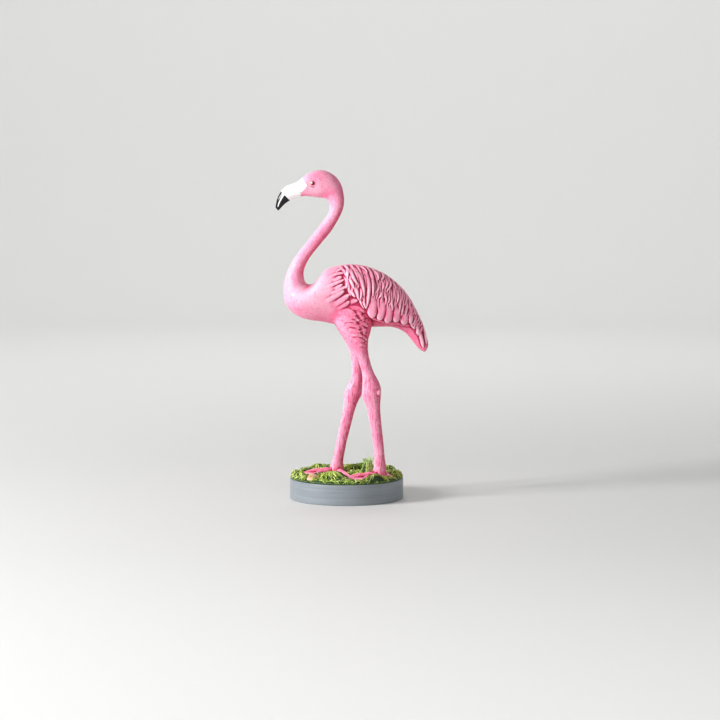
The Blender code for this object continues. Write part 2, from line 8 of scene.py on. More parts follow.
import bpy
import numpy as np
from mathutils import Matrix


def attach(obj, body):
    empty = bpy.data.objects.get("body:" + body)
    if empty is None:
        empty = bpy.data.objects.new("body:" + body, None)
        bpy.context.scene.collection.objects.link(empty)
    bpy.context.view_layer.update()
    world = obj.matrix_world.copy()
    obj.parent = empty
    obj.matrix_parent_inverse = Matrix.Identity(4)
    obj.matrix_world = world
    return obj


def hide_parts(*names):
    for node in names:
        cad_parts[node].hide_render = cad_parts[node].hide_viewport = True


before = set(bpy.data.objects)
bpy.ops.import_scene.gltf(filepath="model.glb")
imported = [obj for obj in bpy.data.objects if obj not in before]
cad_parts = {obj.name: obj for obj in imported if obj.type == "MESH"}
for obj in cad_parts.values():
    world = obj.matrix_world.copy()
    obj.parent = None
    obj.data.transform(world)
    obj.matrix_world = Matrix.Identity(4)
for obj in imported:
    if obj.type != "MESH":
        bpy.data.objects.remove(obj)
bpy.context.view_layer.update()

# The view: level with the bird's head, looking along +Y and a little down, from 1.8 m away.
view = bpy.data.objects.new("view", bpy.data.cameras.new("view"))
view.data.lens = 103.05
view.data.sensor_width = 36.0
view.location = (0.0118, -1.808, 0.279)
view.rotation_euler = (np.radians(90.0 - 4.96), 0.0, 0.0)
bpy.context.scene.collection.objects.link(view)
bpy.context.scene.camera = view
bpy.context.scene.view_settings.view_transform = "Standard"


# The bird: one resin casting from a carved model, with beak, head, neck, body, folded wings, tail,
# legs and webbed feet. Overlapping forms are melted into one skin, then the feathers are carved in.
SOLE_HEIGHT = 0.0202          # metres from the floor to the soles
BIRD_GRAIN = 0.47             # grid of the melted skin
BIRD_TRIANGLES = 190000

# Ribs from beak tip to tail tip in the plane of symmetry: the end on the back (x, z), the end on
# the throat, breast or belly (x, z), and half the width across
BEAK = [(-62.4, 235.8, -59.6, 232.8, 1.3), (-60.2, 244.9, -53.8, 238.9, 3.2),
        (-53.7, 253.9, -46.5, 243.3, 4.7), (-42.9, 258.3, -39.0, 245.6, 6.0)]
HEAD = [(-39.0, 261.5, -35.0, 245.8, 7.2), (-33.4, 265.6, -30.3, 245.4, 8.5),
        (-26.5, 268.0, -25.0, 244.6, 9.1), (-18.9, 268.0, -20.6, 244.2, 8.9),
        (-11.2, 264.3, -17.2, 243.2, 8.2), (-5.7, 258.0, -15.5, 240.8, 7.3)]
NECK = [(-2.8, 249.6, -14.6, 238.2, 6.6), (-2.0, 240.3, -14.7, 235.4, 6.2),
        (-3.9, 232.2, -16.0, 230.6, 6.0), (-12.6, 216.4, -21.8, 222.6, 5.7),
        (-22.8, 203.9, -31.0, 210.4, 5.7), (-33.3, 190.3, -42.5, 196.3, 6.1),
        (-37.4, 180.6, -49.6, 185.0, 7.2), (-37.5, 175.0, -53.5, 175.4, 9.0)]
BREAST = [(-35.9, 170.2, -55.3, 165.5, 11.4), (-32.6, 168.5, -54.6, 154.5, 14.2),
          (-28.4, 169.8, -49.7, 146.1, 16.6), (-24.0, 174.5, -42.1, 140.5, 18.4),
          (-18.5, 181.2, -33.4, 137.5, 19.6)]
BODY = [(-11.4, 184.1, -23.1, 136.0, 20.2), (-2.5, 185.7, -11.7, 133.5, 20.4),
        (7.2, 186.1, 0.5, 131.3, 20.2), (26.6, 180.9, 23.3, 131.2, 18.2),
        (43.3, 170.4, 40.9, 130.9, 14.8), (55.5, 156.9, 51.5, 126.2, 11.0)]
TAIL = [(62.5, 142.6, 57.8, 119.0, 8.0), (68.7, 128.4, 63.2, 112.2, 5.6),
        (71.9, 115.0, 68.5, 109.0, 3.4), (70.9, 111.6, 69.7, 109.6, 1.5)]
RIB_EGG = 0.10                # ribs are this much fuller above than below

# A folded wing from shoulder to tail: upper edge (x, z), lower edge (x, z), how far its middle
# stands from the plane of symmetry, and half its thickness
WING = [(-7.0, 174.0, -6.0, 163.0, 15.0, 3.0), (3.0, 180.0, 7.0, 151.0, 15.0, 6.2),
        (18.0, 176.0, 20.0, 140.0, 13.5, 7.4), (32.0, 168.0, 33.5, 135.0, 11.5, 7.2),
        (45.0, 158.0, 46.0, 133.0, 8.8, 6.4), (56.0, 146.0, 57.0, 130.0, 6.0, 5.2),
        (64.0, 132.0, 63.5, 121.0, 3.4, 3.6)]

# Legs from inside the body down to the sole: x, y, z, half the depth fore and aft, half the width
LEFT_LEG = [(3.0, -7.5, 160.0, 10.0, 8.0), (4.0, -8.3, 150.0, 14.5, 10.4), (5.2, -9.0, 139.5, 16.8, 10.8),
            (7.4, -9.6, 129.5, 14.2, 10.0), (9.4, -10.0, 120.5, 9.9, 8.8), (12.0, -10.4, 113.0, 6.8, 7.2),
            (14.4, -10.6, 105.5, 5.3, 5.8), (16.5, -10.7, 98.5, 4.9, 5.3), (18.9, -11.0, 91.5, 5.3, 5.5),
            (21.3, -11.4, 83.0, 7.4, 6.5), (21.9, -11.7, 76.0, 8.5, 7.0), (22.0, -12.0, 70.0, 7.9, 6.8),
            (23.3, -12.4, 61.5, 6.2, 5.8), (24.9, -13.0, 51.0, 5.3, 5.2), (27.5, -14.0, 32.0, 4.7, 4.8),
            (28.8, -14.6, 20.0, 4.5, 4.7), (29.2, -15.2, 11.5, 4.9, 5.0), (28.9, -15.7, 5.5, 6.2, 6.0),
            (28.5, -16.0, 1.0, 7.6, 7.2)]
RIGHT_LEG = [(1.0, 7.5, 160.0, 10.0, 8.0), (2.0, 8.3, 150.0, 14.5, 10.4), (3.2, 9.0, 139.0, 16.4, 10.8),
             (5.4, 9.3, 128.0, 13.6, 10.0), (7.5, 9.6, 118.0, 9.6, 8.8), (8.3, 9.8, 110.0, 6.0, 7.0),
             (8.8, 10.0, 103.0, 5.0, 5.8), (9.5, 10.0, 92.0, 4.9, 5.3), (8.8, 10.0, 83.0, 5.5, 5.6),
             (6.8, 10.0, 76.5, 7.1, 6.6), (5.3, 10.0, 70.0, 7.7, 7.0), (3.7, 10.0, 64.0, 6.3, 6.2),
             (1.8, 10.0, 56.0, 5.3, 5.5), (-2.4, 10.0, 38.5, 4.9, 5.0), (-6.1, 10.0, 20.5, 4.5, 4.7),
             (-8.0, 10.0, 11.5, 4.9, 5.0), (-9.1, 10.0, 5.5, 6.2, 6.0), (-9.6, 10.0, 1.0, 7.6, 7.2)]

# Feet: the ankle on the ground, the middle toe's heading in degrees (180 points the way the bird
# walks), the hind toe's heading and its reach
LEFT_FOOT = ((28.5, -16.0), 208.0, 346.0, 12.5)
RIGHT_FOOT = ((-9.6, 10.0), 190.0, 298.0, 27.0)
MIDDLE_TOE, SIDE_TOE, TOE_SPREAD = 32.0, 28.0, 26.0
TOE_ROOT, TOE_TIP = 2.9, 1.3
WEB_TOP, WEB_NOTCH = 1.8, 0.80

EYE = np.array([-29.9, 7.9, 257.0])
EYE_RADIUS = 2.3
# The fold under the eye is not carved: a dark line painted along it stands for its shade
EYE_CREASE = ((-30.6, 254.1), (-28.0, 253.2))       # a short fold under the eye, (x, z)
MOUTH_CORNER = ((-39.7, 249.0), (-39.4, 246.4))
HOCK_KNOB = (27.8, -15.7, 74.5)     # a small knob at the back of the left hock
KNOB_RADIUS = 2.8
LEG_TOP = 112.0               # where the bare leg starts under the thigh
WRINKLES = 0.17               # depth of the wrinkles on the bare legs
DOWN = 0.18                   # depth of the down on the flanks

# Feathers of one wing in the side view: root (x, z), middle, tip, and half the width. The same
# ones are carved on both sides.
COVERTS = [(-0.5, 182.5, 1, 179.5, 1.5, 175.5, 1.5), (3.5, 183.5, 5.5, 176.5, 10, 169, 1.9),
           (2.5, 176, 4.5, 171.5, 7, 165.5, 1.7), (5.5, 184.5, 12.5, 174, 15.5, 159, 2.2),
           (11, 185, 19, 172.5, 17.5, 148.5, 2.1), (9.5, 185.5, 15, 182.5, 18, 178.5, 1.2),
           (17, 184.5, 22, 176, 23, 159, 2.0), (22, 182.5, 26.5, 178, 27.5, 172.5, 1.7),
           (5.5, 169.5, 8.5, 164.5, 11, 156, 2.1), (12, 168, 13, 162.5, 12, 156.5, 1.5),
           (2.5, 166, 5, 162.5, 8, 158.5, 1.9), (13.5, 155.5, 15.5, 153, 17, 148.5, 1.3)]
REAR_COVERTS = [(28.5, 181, 32, 177, 30.5, 172.5, 1.5), (29, 173, 32, 169, 30.5, 164, 1.6),
                (33, 174, 35.5, 170, 33, 164.5, 1.5), (36, 174, 38.5, 169.5, 35, 163, 1.4),
                (38, 173, 41, 169, 43.5, 165, 1.0), (26, 172.5, 28, 167.5, 25.5, 162, 1.7),
                (29.5, 164.5, 30.5, 161.5, 28, 157.5, 1.6), (32.5, 165, 33.5, 160, 35, 154.5, 1.4),
                (36, 163.5, 37, 158.5, 36.5, 153, 1.3), (39.5, 165.5, 39, 156.5, 40, 146.5, 1.6),
                (42.5, 165.5, 45, 160, 43.5, 152.5, 1.4), (47, 164.5, 47, 155, 45, 141.5, 1.5),
                (49.5, 163.5, 52.5, 159, 55, 154, 1.0), (50.5, 156.5, 49, 149.5, 47.5, 141.5, 1.3),
                (53.5, 155, 52.5, 148, 50.5, 141, 1.3), (56, 154, 58.5, 148.5, 60, 142, 1.1),
                (42, 170.5, 46.5, 166, 50, 161, 1.0)]
FLIGHT = [(24, 161, 23, 150.5, 22, 140.5, 3.7), (29.5, 158.5, 31, 148, 28, 138.5, 3.2),
          (35.5, 155, 37, 145.5, 35, 136, 3.4), (42, 152, 44, 144.5, 42, 136.5, 3.2),
          (49, 148, 51, 141, 49, 134.5, 3.2), (55, 153, 56, 144.5, 55.5, 135, 2.1)]
SHOULDER = [(-9.5, 180, -6.5, 182, -3, 182.5, 1.1), (-14.5, 176, -8.5, 178.5, -2, 179, 1.3),
            (-11.5, 172.5, -7, 174.5, -4.5, 176.5, 1.6), (-16.5, 167.5, -8, 171, -2, 173.5, 1.3),
            (-10.5, 165.5, -7, 167, -3.5, 169.5, 1.5), (-13, 161, -6.5, 164.5, 0.5, 168, 1.4),
            (-17.5, 154.5, -8.5, 160, -2, 164, 1.9), (-10, 152, -4, 155.5, 2.5, 161, 2.2),
            (-7.5, 148, -1, 152, 2.5, 155, 1.7), (3, 153, 6.5, 155, 10, 155.5, 1.7),
            (-1, 176.5, 0.5, 173, 2.5, 168.5, 1.5)]
FLANK = [(-7.5, 145, 1.5, 145.5, 8, 142.5, 2.2), (3, 148.5, 10, 148.5, 15.5, 145, 1.6),
         (7.5, 146, 11, 144.5, 12.5, 141.5, 1.4), (-4, 140, 4, 141, 11, 137.5, 1.7),
         (11, 142, 14, 140, 14.5, 137, 1.3), (-2, 137, 3, 138, 9, 136.5, 1.2),
         (0.5, 133.5, 5.5, 134.5, 11.5, 131, 1.9), (12, 135.5, 15.5, 135, 18.5, 132, 1.3),
         (2, 128.5, 6.5, 129.5, 12, 127.5, 1.8), (12.5, 132, 15.5, 129.5, 15, 125.5, 1.3),
         (3, 124.5, 8.5, 126, 13.5, 123.5, 1.7), (5, 120, 10, 121, 15.5, 119.5, 1.9),
         (13.5, 123.5, 16, 122.5, 18, 120, 1.1), (8.5, 116, 12.5, 117, 17, 115, 1.7)]
TAIL_FEATHERS = [(56, 145.5, 60.5, 137.5, 63, 124.5, 1.4), (59.5, 140, 64, 127, 67.5, 113, 1.5),
                 (61, 145.5, 67, 133, 70, 116.5, 1.2)]
# Each group with how far its tips stand out, where along a feather the tip starts to round off, and
# how much its feathers spread
PLUMAGE = [(FLANK, 0.75, 0.4, 1.5), (SHOULDER, 1.25, 0.4, 1.4), (TAIL_FEATHERS, 1.5, 0.8, 1.1),
           (REAR_COVERTS, 2.3, 0.35, 1.2), (FLIGHT, 2.3, 0.75, 1.22), (COVERTS, 2.7, 0.45, 1.12)]
PLAIN_LIFT, PLAIN_POINT = 1.6, 0.35   # the first two for the plain feathers between them

# Lines that the plain feathers between the carved ones follow, from the upper edge of a wing (x, z)
# to its lower edge (x, z), and how many feathers lie side by side and one behind the other
WING_LINES = [(-3, 181.5, 4, 158), (4, 184, 14, 150), (11, 185, 20, 142), (18, 184.3, 26, 138.5),
              (25, 182.3, 32, 136.5), (32, 179, 38, 136), (38.5, 175, 43.5, 135.5), (44.5, 170, 48.5, 134.5),
              (50, 163.5, 53, 134), (55, 155.5, 57.5, 132), (60, 147, 61, 127), (64.5, 137, 65, 120)]
FEATHERS_ABREAST, FEATHER_ROWS = 18, 4
FEATHER_S = 2.6               # how far a line swings to either side of straight


def along_stations(rows, count):
    """A table of stations carried through a smooth curve: between two stations every column is the
    cubic that has their values and the slopes of their neighbours."""
    table = np.array(rows, float)
    steps = np.sqrt(np.linalg.norm(np.diff(table[:, :3], axis=0), axis=1))
    knots = np.concatenate([[0.0], np.cumsum(steps)])
    slopes = np.gradient(table, knots, axis=0)
    where = np.linspace(0.0, knots[-1], count)
    span = np.clip(np.searchsorted(knots, where, side="right") - 1, 0, len(knots) - 2)
    width = (knots[span + 1] - knots[span])[:, None]
    t = (where - knots[span])[:, None] / width
    return (table[span] * (2 * t ** 3 - 3 * t ** 2 + 1) + slopes[span] * width * (t ** 3 - 2 * t ** 2 + t)
            + table[span + 1] * (3 * t ** 2 - 2 * t ** 3) + slopes[span + 1] * width * (t ** 3 - t ** 2))


def full_turn(sides):
    """The cosines and the sines of evenly spaced turns, one for each side."""
    turn = np.linspace(0.0, 2 * np.pi, sides, endpoint=False)
    return np.cos(turn), np.sin(turn)


def tubes(rings):
    """Closed skins over n tubes of m rings of s corners: a quad joins corners j and j + 1 of ring i to
    those of ring i + 1, and a fan to the middle of each end ring closes the tube."""
    n, m, s = rings.shape[:3]
    corner = np.arange(n * m * s).reshape(n, m, s)
    turned = np.roll(corner, -1, axis=2)
    quads = np.stack([corner[:, :-1], turned[:, :-1], turned[:, 1:], corner[:, 1:]], axis=-1).reshape(-1, 4)
    first = np.broadcast_to(n * m * s + np.arange(n)[:, None], (n, s))
    caps = np.concatenate([np.stack([first, turned[:, 0], corner[:, 0]], axis=-1).reshape(-1, 3),
                           np.stack([first + n, corner[:, -1], turned[:, -1]], axis=-1).reshape(-1, 3)])
    points = np.concatenate([rings.reshape(-1, 3), rings[:, 0].mean(axis=1), rings[:, -1].mean(axis=1)])
    return points, quads.tolist() + caps.tolist()


def mesh_from(name, shapes):
    """One mesh from several (points, faces) pairs."""
    points = np.concatenate([shape[0] for shape in shapes])
    starts = np.cumsum([0] + [len(shape[0]) for shape in shapes])
    faces = [tuple(start + i for i in face) for start, shape in zip(starts, shapes) for face in shape[1]]
    mesh = bpy.data.meshes.new(name)
    mesh.from_pydata(points.tolist(), [], faces)
    return mesh


def points_of(mesh):
    points = np.empty(len(mesh.vertices) * 3, np.float32)
    mesh.vertices.foreach_get("co", points)
    return points.reshape(-1, 3).astype(float)


def normals_of(mesh):
    normals = np.empty(len(mesh.vertices) * 3, np.float32)
    mesh.vertex_normals.foreach_get("vector", normals)
    return normals.reshape(-1, 3).astype(float)


def move_points(mesh, points):
    mesh.vertices.foreach_set("co", points.astype(np.float32).ravel())
    mesh.update()


def trunk_skin():
    """Beak to tail: on each rib the ring is the middle of its two ends, plus half their difference
    times the cosine in the plane, and its half width times the sine across."""
    ribs = along_stations(BEAK + HEAD + NECK + BREAST + BODY + TAIL, 260)
    rise, aside = full_turn(64)
    back, front = ribs[:, None, 0:2], ribs[:, None, 2:4]
    plane = (back + front) / 2 + (back - front) / 2 * rise[None, :, None]
    across = ribs[:, None, 4] * aside * (1 + RIB_EGG * rise)
    return tubes(np.stack([plane[..., 0], across, plane[..., 1]], axis=2)[None])


def wing_skin(side):
    """A folded wing: a lens on every rib, its middle a set distance from the plane of symmetry."""
    ribs = along_stations(WING, 90)
    rise, aside = full_turn(40)
    upper, lower = ribs[:, None, 0:2], ribs[:, None, 2:4]
    plane = (upper + lower) / 2 + (upper - lower) / 2 * rise[None, :, None]
    across = side * (ribs[:, None, 4] + ribs[:, None, 5] * aside * side)
    return tubes(np.stack([plane[..., 0], across, plane[..., 1]], axis=2)[None])


def leg_skin(stations):
    """A leg: a level oval at every station of its path."""
    path = along_stations(stations, 140)
    ahead, aside = full_turn(36)
    x = path[:, None, 0] + path[:, None, 3] * ahead
    y = path[:, None, 1] - path[:, None, 4] * aside
    return tubes(np.stack([x, y, np.broadcast_to(path[:, None, 2], x.shape)], axis=2)[None])


def heading(degrees):
    return np.array([np.cos(np.radians(degrees)), np.sin(np.radians(degrees))])


def toes_of(foot):
    """Heading and reach of the four toes of a foot, the hind toe last."""
    ahead, hind, hind_reach = foot[1:]
    return [(ahead - TOE_SPREAD, SIDE_TOE), (ahead, MIDDLE_TOE), (ahead + TOE_SPREAD, SIDE_TOE),
            (hind, hind_reach)]


def toe_skin(ankle, direction, reach):
    """A toe: a round bar lying on the ground that tapers along its length, with knuckles: its
    radius swells and shrinks with a cosine, and ends round."""
    ahead = heading(direction)
    aside = np.array([-ahead[1], ahead[0]])
    along = np.sin(np.linspace(0.0, np.pi / 2, 24))
    right, up = full_turn(20)
    knuckle = 1.0 + 0.07 * np.cos(along * 6 * np.pi) * (along < 0.95)
    size = (TOE_ROOT + (TOE_TIP - TOE_ROOT) * along) * np.sqrt(1.02 - along ** 8) * knuckle
    middle = np.array(ankle) + np.outer(along, ahead) * reach
    flat = middle[:, None, :] - (size[:, None] * right)[..., None] * aside
    height = size[:, None] * (1.0 + up)
    return tubes(np.concatenate([flat, height[..., None]], axis=2)[None])


def web_skin(foot):
    """The skin between the front toes: a thin plate with a notched front edge."""
    front = toes_of(foot)[:3]
    edge = [np.zeros(2)]
    for (turn, reach), (next_turn, next_reach) in zip(front, front[1:]):
        edge.append(heading(turn) * reach * 0.96)
        edge.append(heading((turn + next_turn) / 2) * (reach + next_reach) / 2 * WEB_NOTCH)
    edge.append(heading(front[-1][0]) * front[-1][1] * 0.96)
    outline = np.array(edge) + np.array(foot[0])
    count = len(outline)
    points = np.concatenate([np.column_stack([outline, np.full(count, z)]) for z in (0.0, WEB_TOP)])
    faces = [tuple(range(count))[::-1], tuple(range(count, 2 * count))]
    faces += [(i, (i + 1) % count, (i + 1) % count + count, i + count) for i in range(count)]
    return points, faces


def ball_skin(middle, radius):
    """A ball: level rings whose radius is the cosine of their height."""
    rise = np.linspace(-0.98, 0.98, 17) * np.pi / 2
    ahead, aside = full_turn(24)
    x = middle[0] + radius * np.cos(rise)[:, None] * ahead
    y = middle[1] + radius * np.cos(rise)[:, None] * aside
    z = np.broadcast_to(middle[2] + radius * np.sin(rise)[:, None], x.shape)
    return tubes(np.stack([x, y, z], axis=2)[None])


def shaped(mesh, kind, **settings):
    """The mesh as one of Blender's modifiers leaves it."""
    holder = bpy.data.objects.new("holder", mesh)
    bpy.context.scene.collection.objects.link(holder)
    tool = holder.modifiers.new("tool", kind)
    for key, value in settings.items():
        setattr(tool, key, value)
    done = bpy.data.meshes.new_from_object(holder.evaluated_get(bpy.context.evaluated_depsgraph_get()))
    bpy.data.objects.remove(holder)
    return done


def softened(mesh, points, rounds, share):
    """Points moved a number of times by a share of the way to the mean of their neighbours."""
    ends = np.empty(len(mesh.edges) * 2, np.int32)
    mesh.edges.foreach_get("vertices", ends)
    a, b = ends.reshape(-1, 2).T
    degree = np.bincount(np.concatenate([a, b]), minlength=len(points))[:, None]
    points = points.copy()
    for _ in range(rounds):
        total = np.column_stack([np.bincount(a, points[b, k], len(points))
                                 + np.bincount(b, points[a, k], len(points)) for k in range(points.shape[1])])
        points += (total / degree - points) * share
    return points


def fade(values, start, end):
    """0 before the start and 1 beyond the end, with a straight rise between them."""
    return np.clip((values - start) / (end - start), 0.0, 1.0)


def thigh_crease(points):
    """Where the thighs run into the belly: 1 in the crease, fading to 0 over a few millimetres."""
    x, z = points[:, 0], points[:, 2]
    level = fade(z, 114, 122) * fade(z, 164, 156)
    return (fade(x, -26, -20) * fade(x, 22, 17) * level)[:, None]


def midribs(feathers):
    """Midribs in the side view: the parabola through a feather's root, middle and tip."""
    table = np.array(feathers, float)
    root, middle, tip = table[:, None, 0:2], table[:, None, 2:4], table[:, None, 4:6]
    t = np.linspace(0.0, 1.0, 11)[None, :, None]
    return root * (1 - t) * (1 - 2 * t) + middle * 4 * t * (1 - t) + tip * t * (2 * t - 1)


def plain_feathers():
    """Feathers in rows along the wing's lines: a line is the straight one between its ends plus a
    whole sine wave fore and aft, and every second row is shifted by half a feather."""
    lines = along_stations(WING_LINES, 2 * FEATHERS_ABREAST + 1)
    feathers = []
    for row in range(FEATHER_ROWS):
        for i in range(row % 2, len(lines), 2):
            start = row / FEATHER_ROWS * 0.66 - 0.16 + 0.06 * np.sin(2.4 * i + row)
            t = start + np.array([0.0, 0.5, 1.0]) * (0.50 + 0.08 * np.sin(1.7 * i + 2.0 * row))
            x = lines[i, 0] * (1 - t) + lines[i, 2] * t + FEATHER_S * np.sin(2 * np.pi * t)
            z = lines[i, 1] * (1 - t) + lines[i, 3] * t
            feathers.append((*np.column_stack([x, z]).ravel().tolist(), 1.7 + 0.35 * np.sin(3.1 * i + row)))
    return feathers


def laid_on(ribs, points, side):
    """Midribs lifted from the side view onto the outermost skin of one side."""
    facing = points[(points[:, 1] * side > 0.0) & (points[:, 2] > 100.0) & (points[:, 2] < 195.0)]
    laid = []
    for mark in ribs.reshape(-1, 2):
        away = np.hypot(facing[:, 0] - mark[0], facing[:, 2] - mark[1])
        close = away < max(away.min() + 0.5, BIRD_GRAIN)
        laid.append((mark[0], side * np.abs(facing[close, 1]).max(), mark[1]))
    return np.array(laid).reshape(*ribs.shape[:2], 3)


def feather_relief(points, normals, rib, half, lift, point):
    """One feather over the skin: its height grows from root to tip and falls again where the tip
    rounds off, and across it falls with a power of the share of its half width, a higher one on a
    blunt feather, which is flatter. Also gives how near the midrib each point is, from 0 to 1."""
    reach = np.linalg.norm(rib[-1] - rib[0])
    near = np.where(np.linalg.norm(points - rib.mean(axis=0), axis=1) < reach * 0.6 + 2 * half)[0]
    spots, outward = points[near], normals[near]
    best = np.full(len(near), np.inf)
    place = np.zeros(len(near))
    pieces = len(rib) - 1
    for i in range(pieces):
        step = rib[i + 1] - rib[i]
        along = ((spots - rib[i]) @ step) / (step @ step)
        t = np.clip(along, 0.0 if i else -0.5, 1.5 if i == pieces - 1 else 1.0)
        gap = spots - rib[i] - t[:, None] * step
        gap -= (gap * outward).sum(axis=1)[:, None] * outward
        distance = np.linalg.norm(gap, axis=1)
        closer = distance < best
        best[closer] = distance[closer]
        place[closer] = (i + t[closer]) / pieces
    round_end = np.clip((place - point) / (1.0 - point), 0.0, 1.0)
    width = half * (0.8 + 0.4 * np.clip(place, 0.0, 0.5)) * np.sqrt(1 - round_end ** 2 + 1e-6)
    inside = (best < width) & (place > -0.04) & (place < 1.0)
    across = np.clip(best / width, 0.0, 1.0)
    height = lift * (0.06 + 0.94 * np.clip(place, 0.0, 1.0) ** 0.8) * (1 - 0.4 * round_end ** 2)
    height *= (1 - across ** (1.0 + 3.4 * point)) ** 0.75
    return near[inside], height[inside], 1 - across[inside]


def carved_plumage(points, normals):
    """Height of the plumage over the skin: the highest feather at each point, on both sides, and how
    near that feather's midrib the point is, less on a feather that stands out little."""
    rise, ridge = np.zeros(len(points)), np.zeros(len(points))
    for feathers, lift, point, spread in [(plain_feathers(), PLAIN_LIFT, PLAIN_POINT, 1.0)] + PLUMAGE:
        ribs = midribs(feathers)
        for side in (-1, 1):
            outward = points[:, 1] * side > -0.4
            for rib, feather in zip(laid_on(ribs, points, side), feathers):
                which, height, middle = feather_relief(points, normals, rib, feather[6] * spread, lift, point)
                higher = outward[which] & (height > rise[which])
                rise[which[higher]] = height[higher]
                ridge[which[higher]] = middle[higher] * min(1.0, lift / PLAIN_LIFT)
    return rise, ridge


def beak_marks(points):
    """Signed distances in the side view, positive inside: the white beak in front of the face, and the black
    tip below a slanting line, less the white line along its middle, a painted reflection of the light on the
    glossy tip."""
    x, z = points[:, 0], points[:, 2]
    face = np.interp(z, [245.9, 249.4, 252.0, 254.6, 256.3, 259.8, 261.5],
                     [-40.2, -38.9, -36.3, -34.5, -35.0, -37.6, -38.4])
    beak = np.minimum((face - x) * 0.85, z - 226.0)
    tip = -0.716 * (x + 57.2) - 0.698 * (z - 250.0)
    # The painted reflection on the black tip: the middle of its white line and how wide it is at each height
    line = np.interp(z, [236.5, 239.8, 243.3, 247.0], [-60.0, -59.0, -57.2, -55.2])
    thickness = np.interp(z, [235.5, 236.5, 247.0], [-0.6, 0.3, 0.85])
    painted_reflection = thickness - np.abs(x - line) * 0.86
    return beak, np.minimum(np.minimum(tip, -painted_reflection), beak)


def line_distance(points, start, end):
    """How far each point is from a short line in the side view."""
    start, step = np.array(start), np.array(end) - np.array(start)
    across = points[:, ::2] - start
    t = np.clip(across @ step / (step @ step), 0.0, 1.0)
    return np.linalg.norm(across - t[:, None] * step, axis=1)


def unevenness(places, reach, seed):
    """Smooth unevenness, mostly from -1 to 1: a quarter of the sum of eight waves of about that reach,
    each in its own direction with its own start."""
    total = np.zeros(len(places))
    for i in range(8):
        turn, tilt = seed + 2.4 * i, np.arcsin((i + 0.5) / 4 - 1)
        ahead = np.array([np.cos(turn) * np.cos(tilt), np.sin(turn) * np.cos(tilt), np.sin(tilt)])
        total += np.sin(places @ ahead * 2 * np.pi / (reach * (0.75 + 0.07 * i)) + seed * 3.1 * i)
    return total / 4


def add_mask(mesh, name, values):
    layer = mesh.attributes.new(name, "FLOAT", "POINT")
    layer.data.foreach_set("value", values.astype(np.float32))


bird_parts = [trunk_skin(), leg_skin(LEFT_LEG), leg_skin(RIGHT_LEG)]
for foot in (LEFT_FOOT, RIGHT_FOOT):
    bird_parts.append(web_skin(foot))
    bird_parts += [toe_skin(foot[0], turn, reach) for turn, reach in toes_of(foot)]
for side in (-1, 1):
    bird_parts.append(wing_skin(side))
    bird_parts.append(ball_skin(EYE * (1, side, 1), EYE_RADIUS))
bird_parts.append(ball_skin(HOCK_KNOB, KNOB_RADIUS))
bird_mesh = shaped(mesh_from("flamingo_rough", bird_parts), "REMESH", mode="VOXEL", voxel_size=BIRD_GRAIN)

# The melted skin is softened all over, and far more in the crease of the thighs; the soles are flat
skin = softened(bird_mesh, points_of(bird_mesh), 6, 0.5)
skin = softened(bird_mesh, skin, 150, 0.5 * thigh_crease(skin))
skin[skin[:, 2] < 0.6, 2] = 0.0
move_points(bird_mesh, skin)

# The feathers, then the down on the flanks and the wrinkles along the legs
plumage, ridge = carved_plumage(skin, normals_of(bird_mesh))
add_mask(bird_mesh, "ridge", softened(bird_mesh, ridge[:, None], 2, 0.5)[:, 0])
downy = (fade(skin[:, 0], -10, -2) * fade(skin[:, 0], 24, 18)
         * fade(skin[:, 2], 110, 118) * fade(skin[:, 2], 150, 142))
wrinkled = fade(skin[:, 2], LEG_TOP, LEG_TOP - 8) * fade(skin[:, 2], 1, 6)
plumage += downy * DOWN * unevenness(skin * (0.5, 1, 1), 3.0, 1.0)
plumage += wrinkled * WRINKLES * unevenness(skin * (1, 1, 0.2) + 0.8 * np.sin(skin[:, 2:] / 5.0), 3.6, 2.0)
carved = skin + normals_of(bird_mesh) * plumage[:, None]
carved = softened(bird_mesh, carved, 1, 0.4)
move_points(bird_mesh, carved)

# Paint settles in the hollows and is brushed off the crests, and these masks also carry painted shade in the
# broad hollows and a painted highlight on the crests: a point's hollow is how far the softened form stands
# over it, in millimetres, once over a fine and once over a broad reach
outward = normals_of(bird_mesh)
fine_hollow = ((softened(bird_mesh, carved, 14, 0.5) - carved) * outward).sum(axis=1)
broad_hollow = ((softened(bird_mesh, carved, 60, 0.5) - carved) * outward).sum(axis=1)
add_mask(bird_mesh, "hollow", fine_hollow)
add_mask(bird_mesh, "broad_hollow", broad_hollow)
# Painted light and shade: crimson as painted shade on what faces back and down, away from the light, and pale
# pink as painted light on what faces forwards
add_mask(bird_mesh, "shade", softened(bird_mesh, outward, 40, 0.5) @ (0.82, 0.0, -0.57))
bird_mesh = shaped(bird_mesh, "DECIMATE", ratio=min(1.0, BIRD_TRIANGLES / (2 * len(bird_mesh.polygons))))
carved = points_of(bird_mesh)
beak_mask, black_mask = beak_marks(carved)
add_mask(bird_mesh, "beak", beak_mask)
add_mask(bird_mesh, "black", black_mask)
feathered = fade(carved[:, 0], -4, 10) * fade(carved[:, 2], 108, 116) * fade(carved[:, 2], 200, 196)
add_mask(bird_mesh, "plumage", feathered)
# Paler paint round the middle of the breast, a painted highlight, and, less so, of the cheek; it ends where
# this is 1
breast = np.hypot((carved[:, 0] + 26) / 34, (carved[:, 2] - 162) / 20)
cheek = np.hypot((carved[:, 0] + 28) / 14, (carved[:, 2] - 252) / 10)
add_mask(bird_mesh, "pale", np.minimum(breast, 0.35 + 0.65 * cheek))
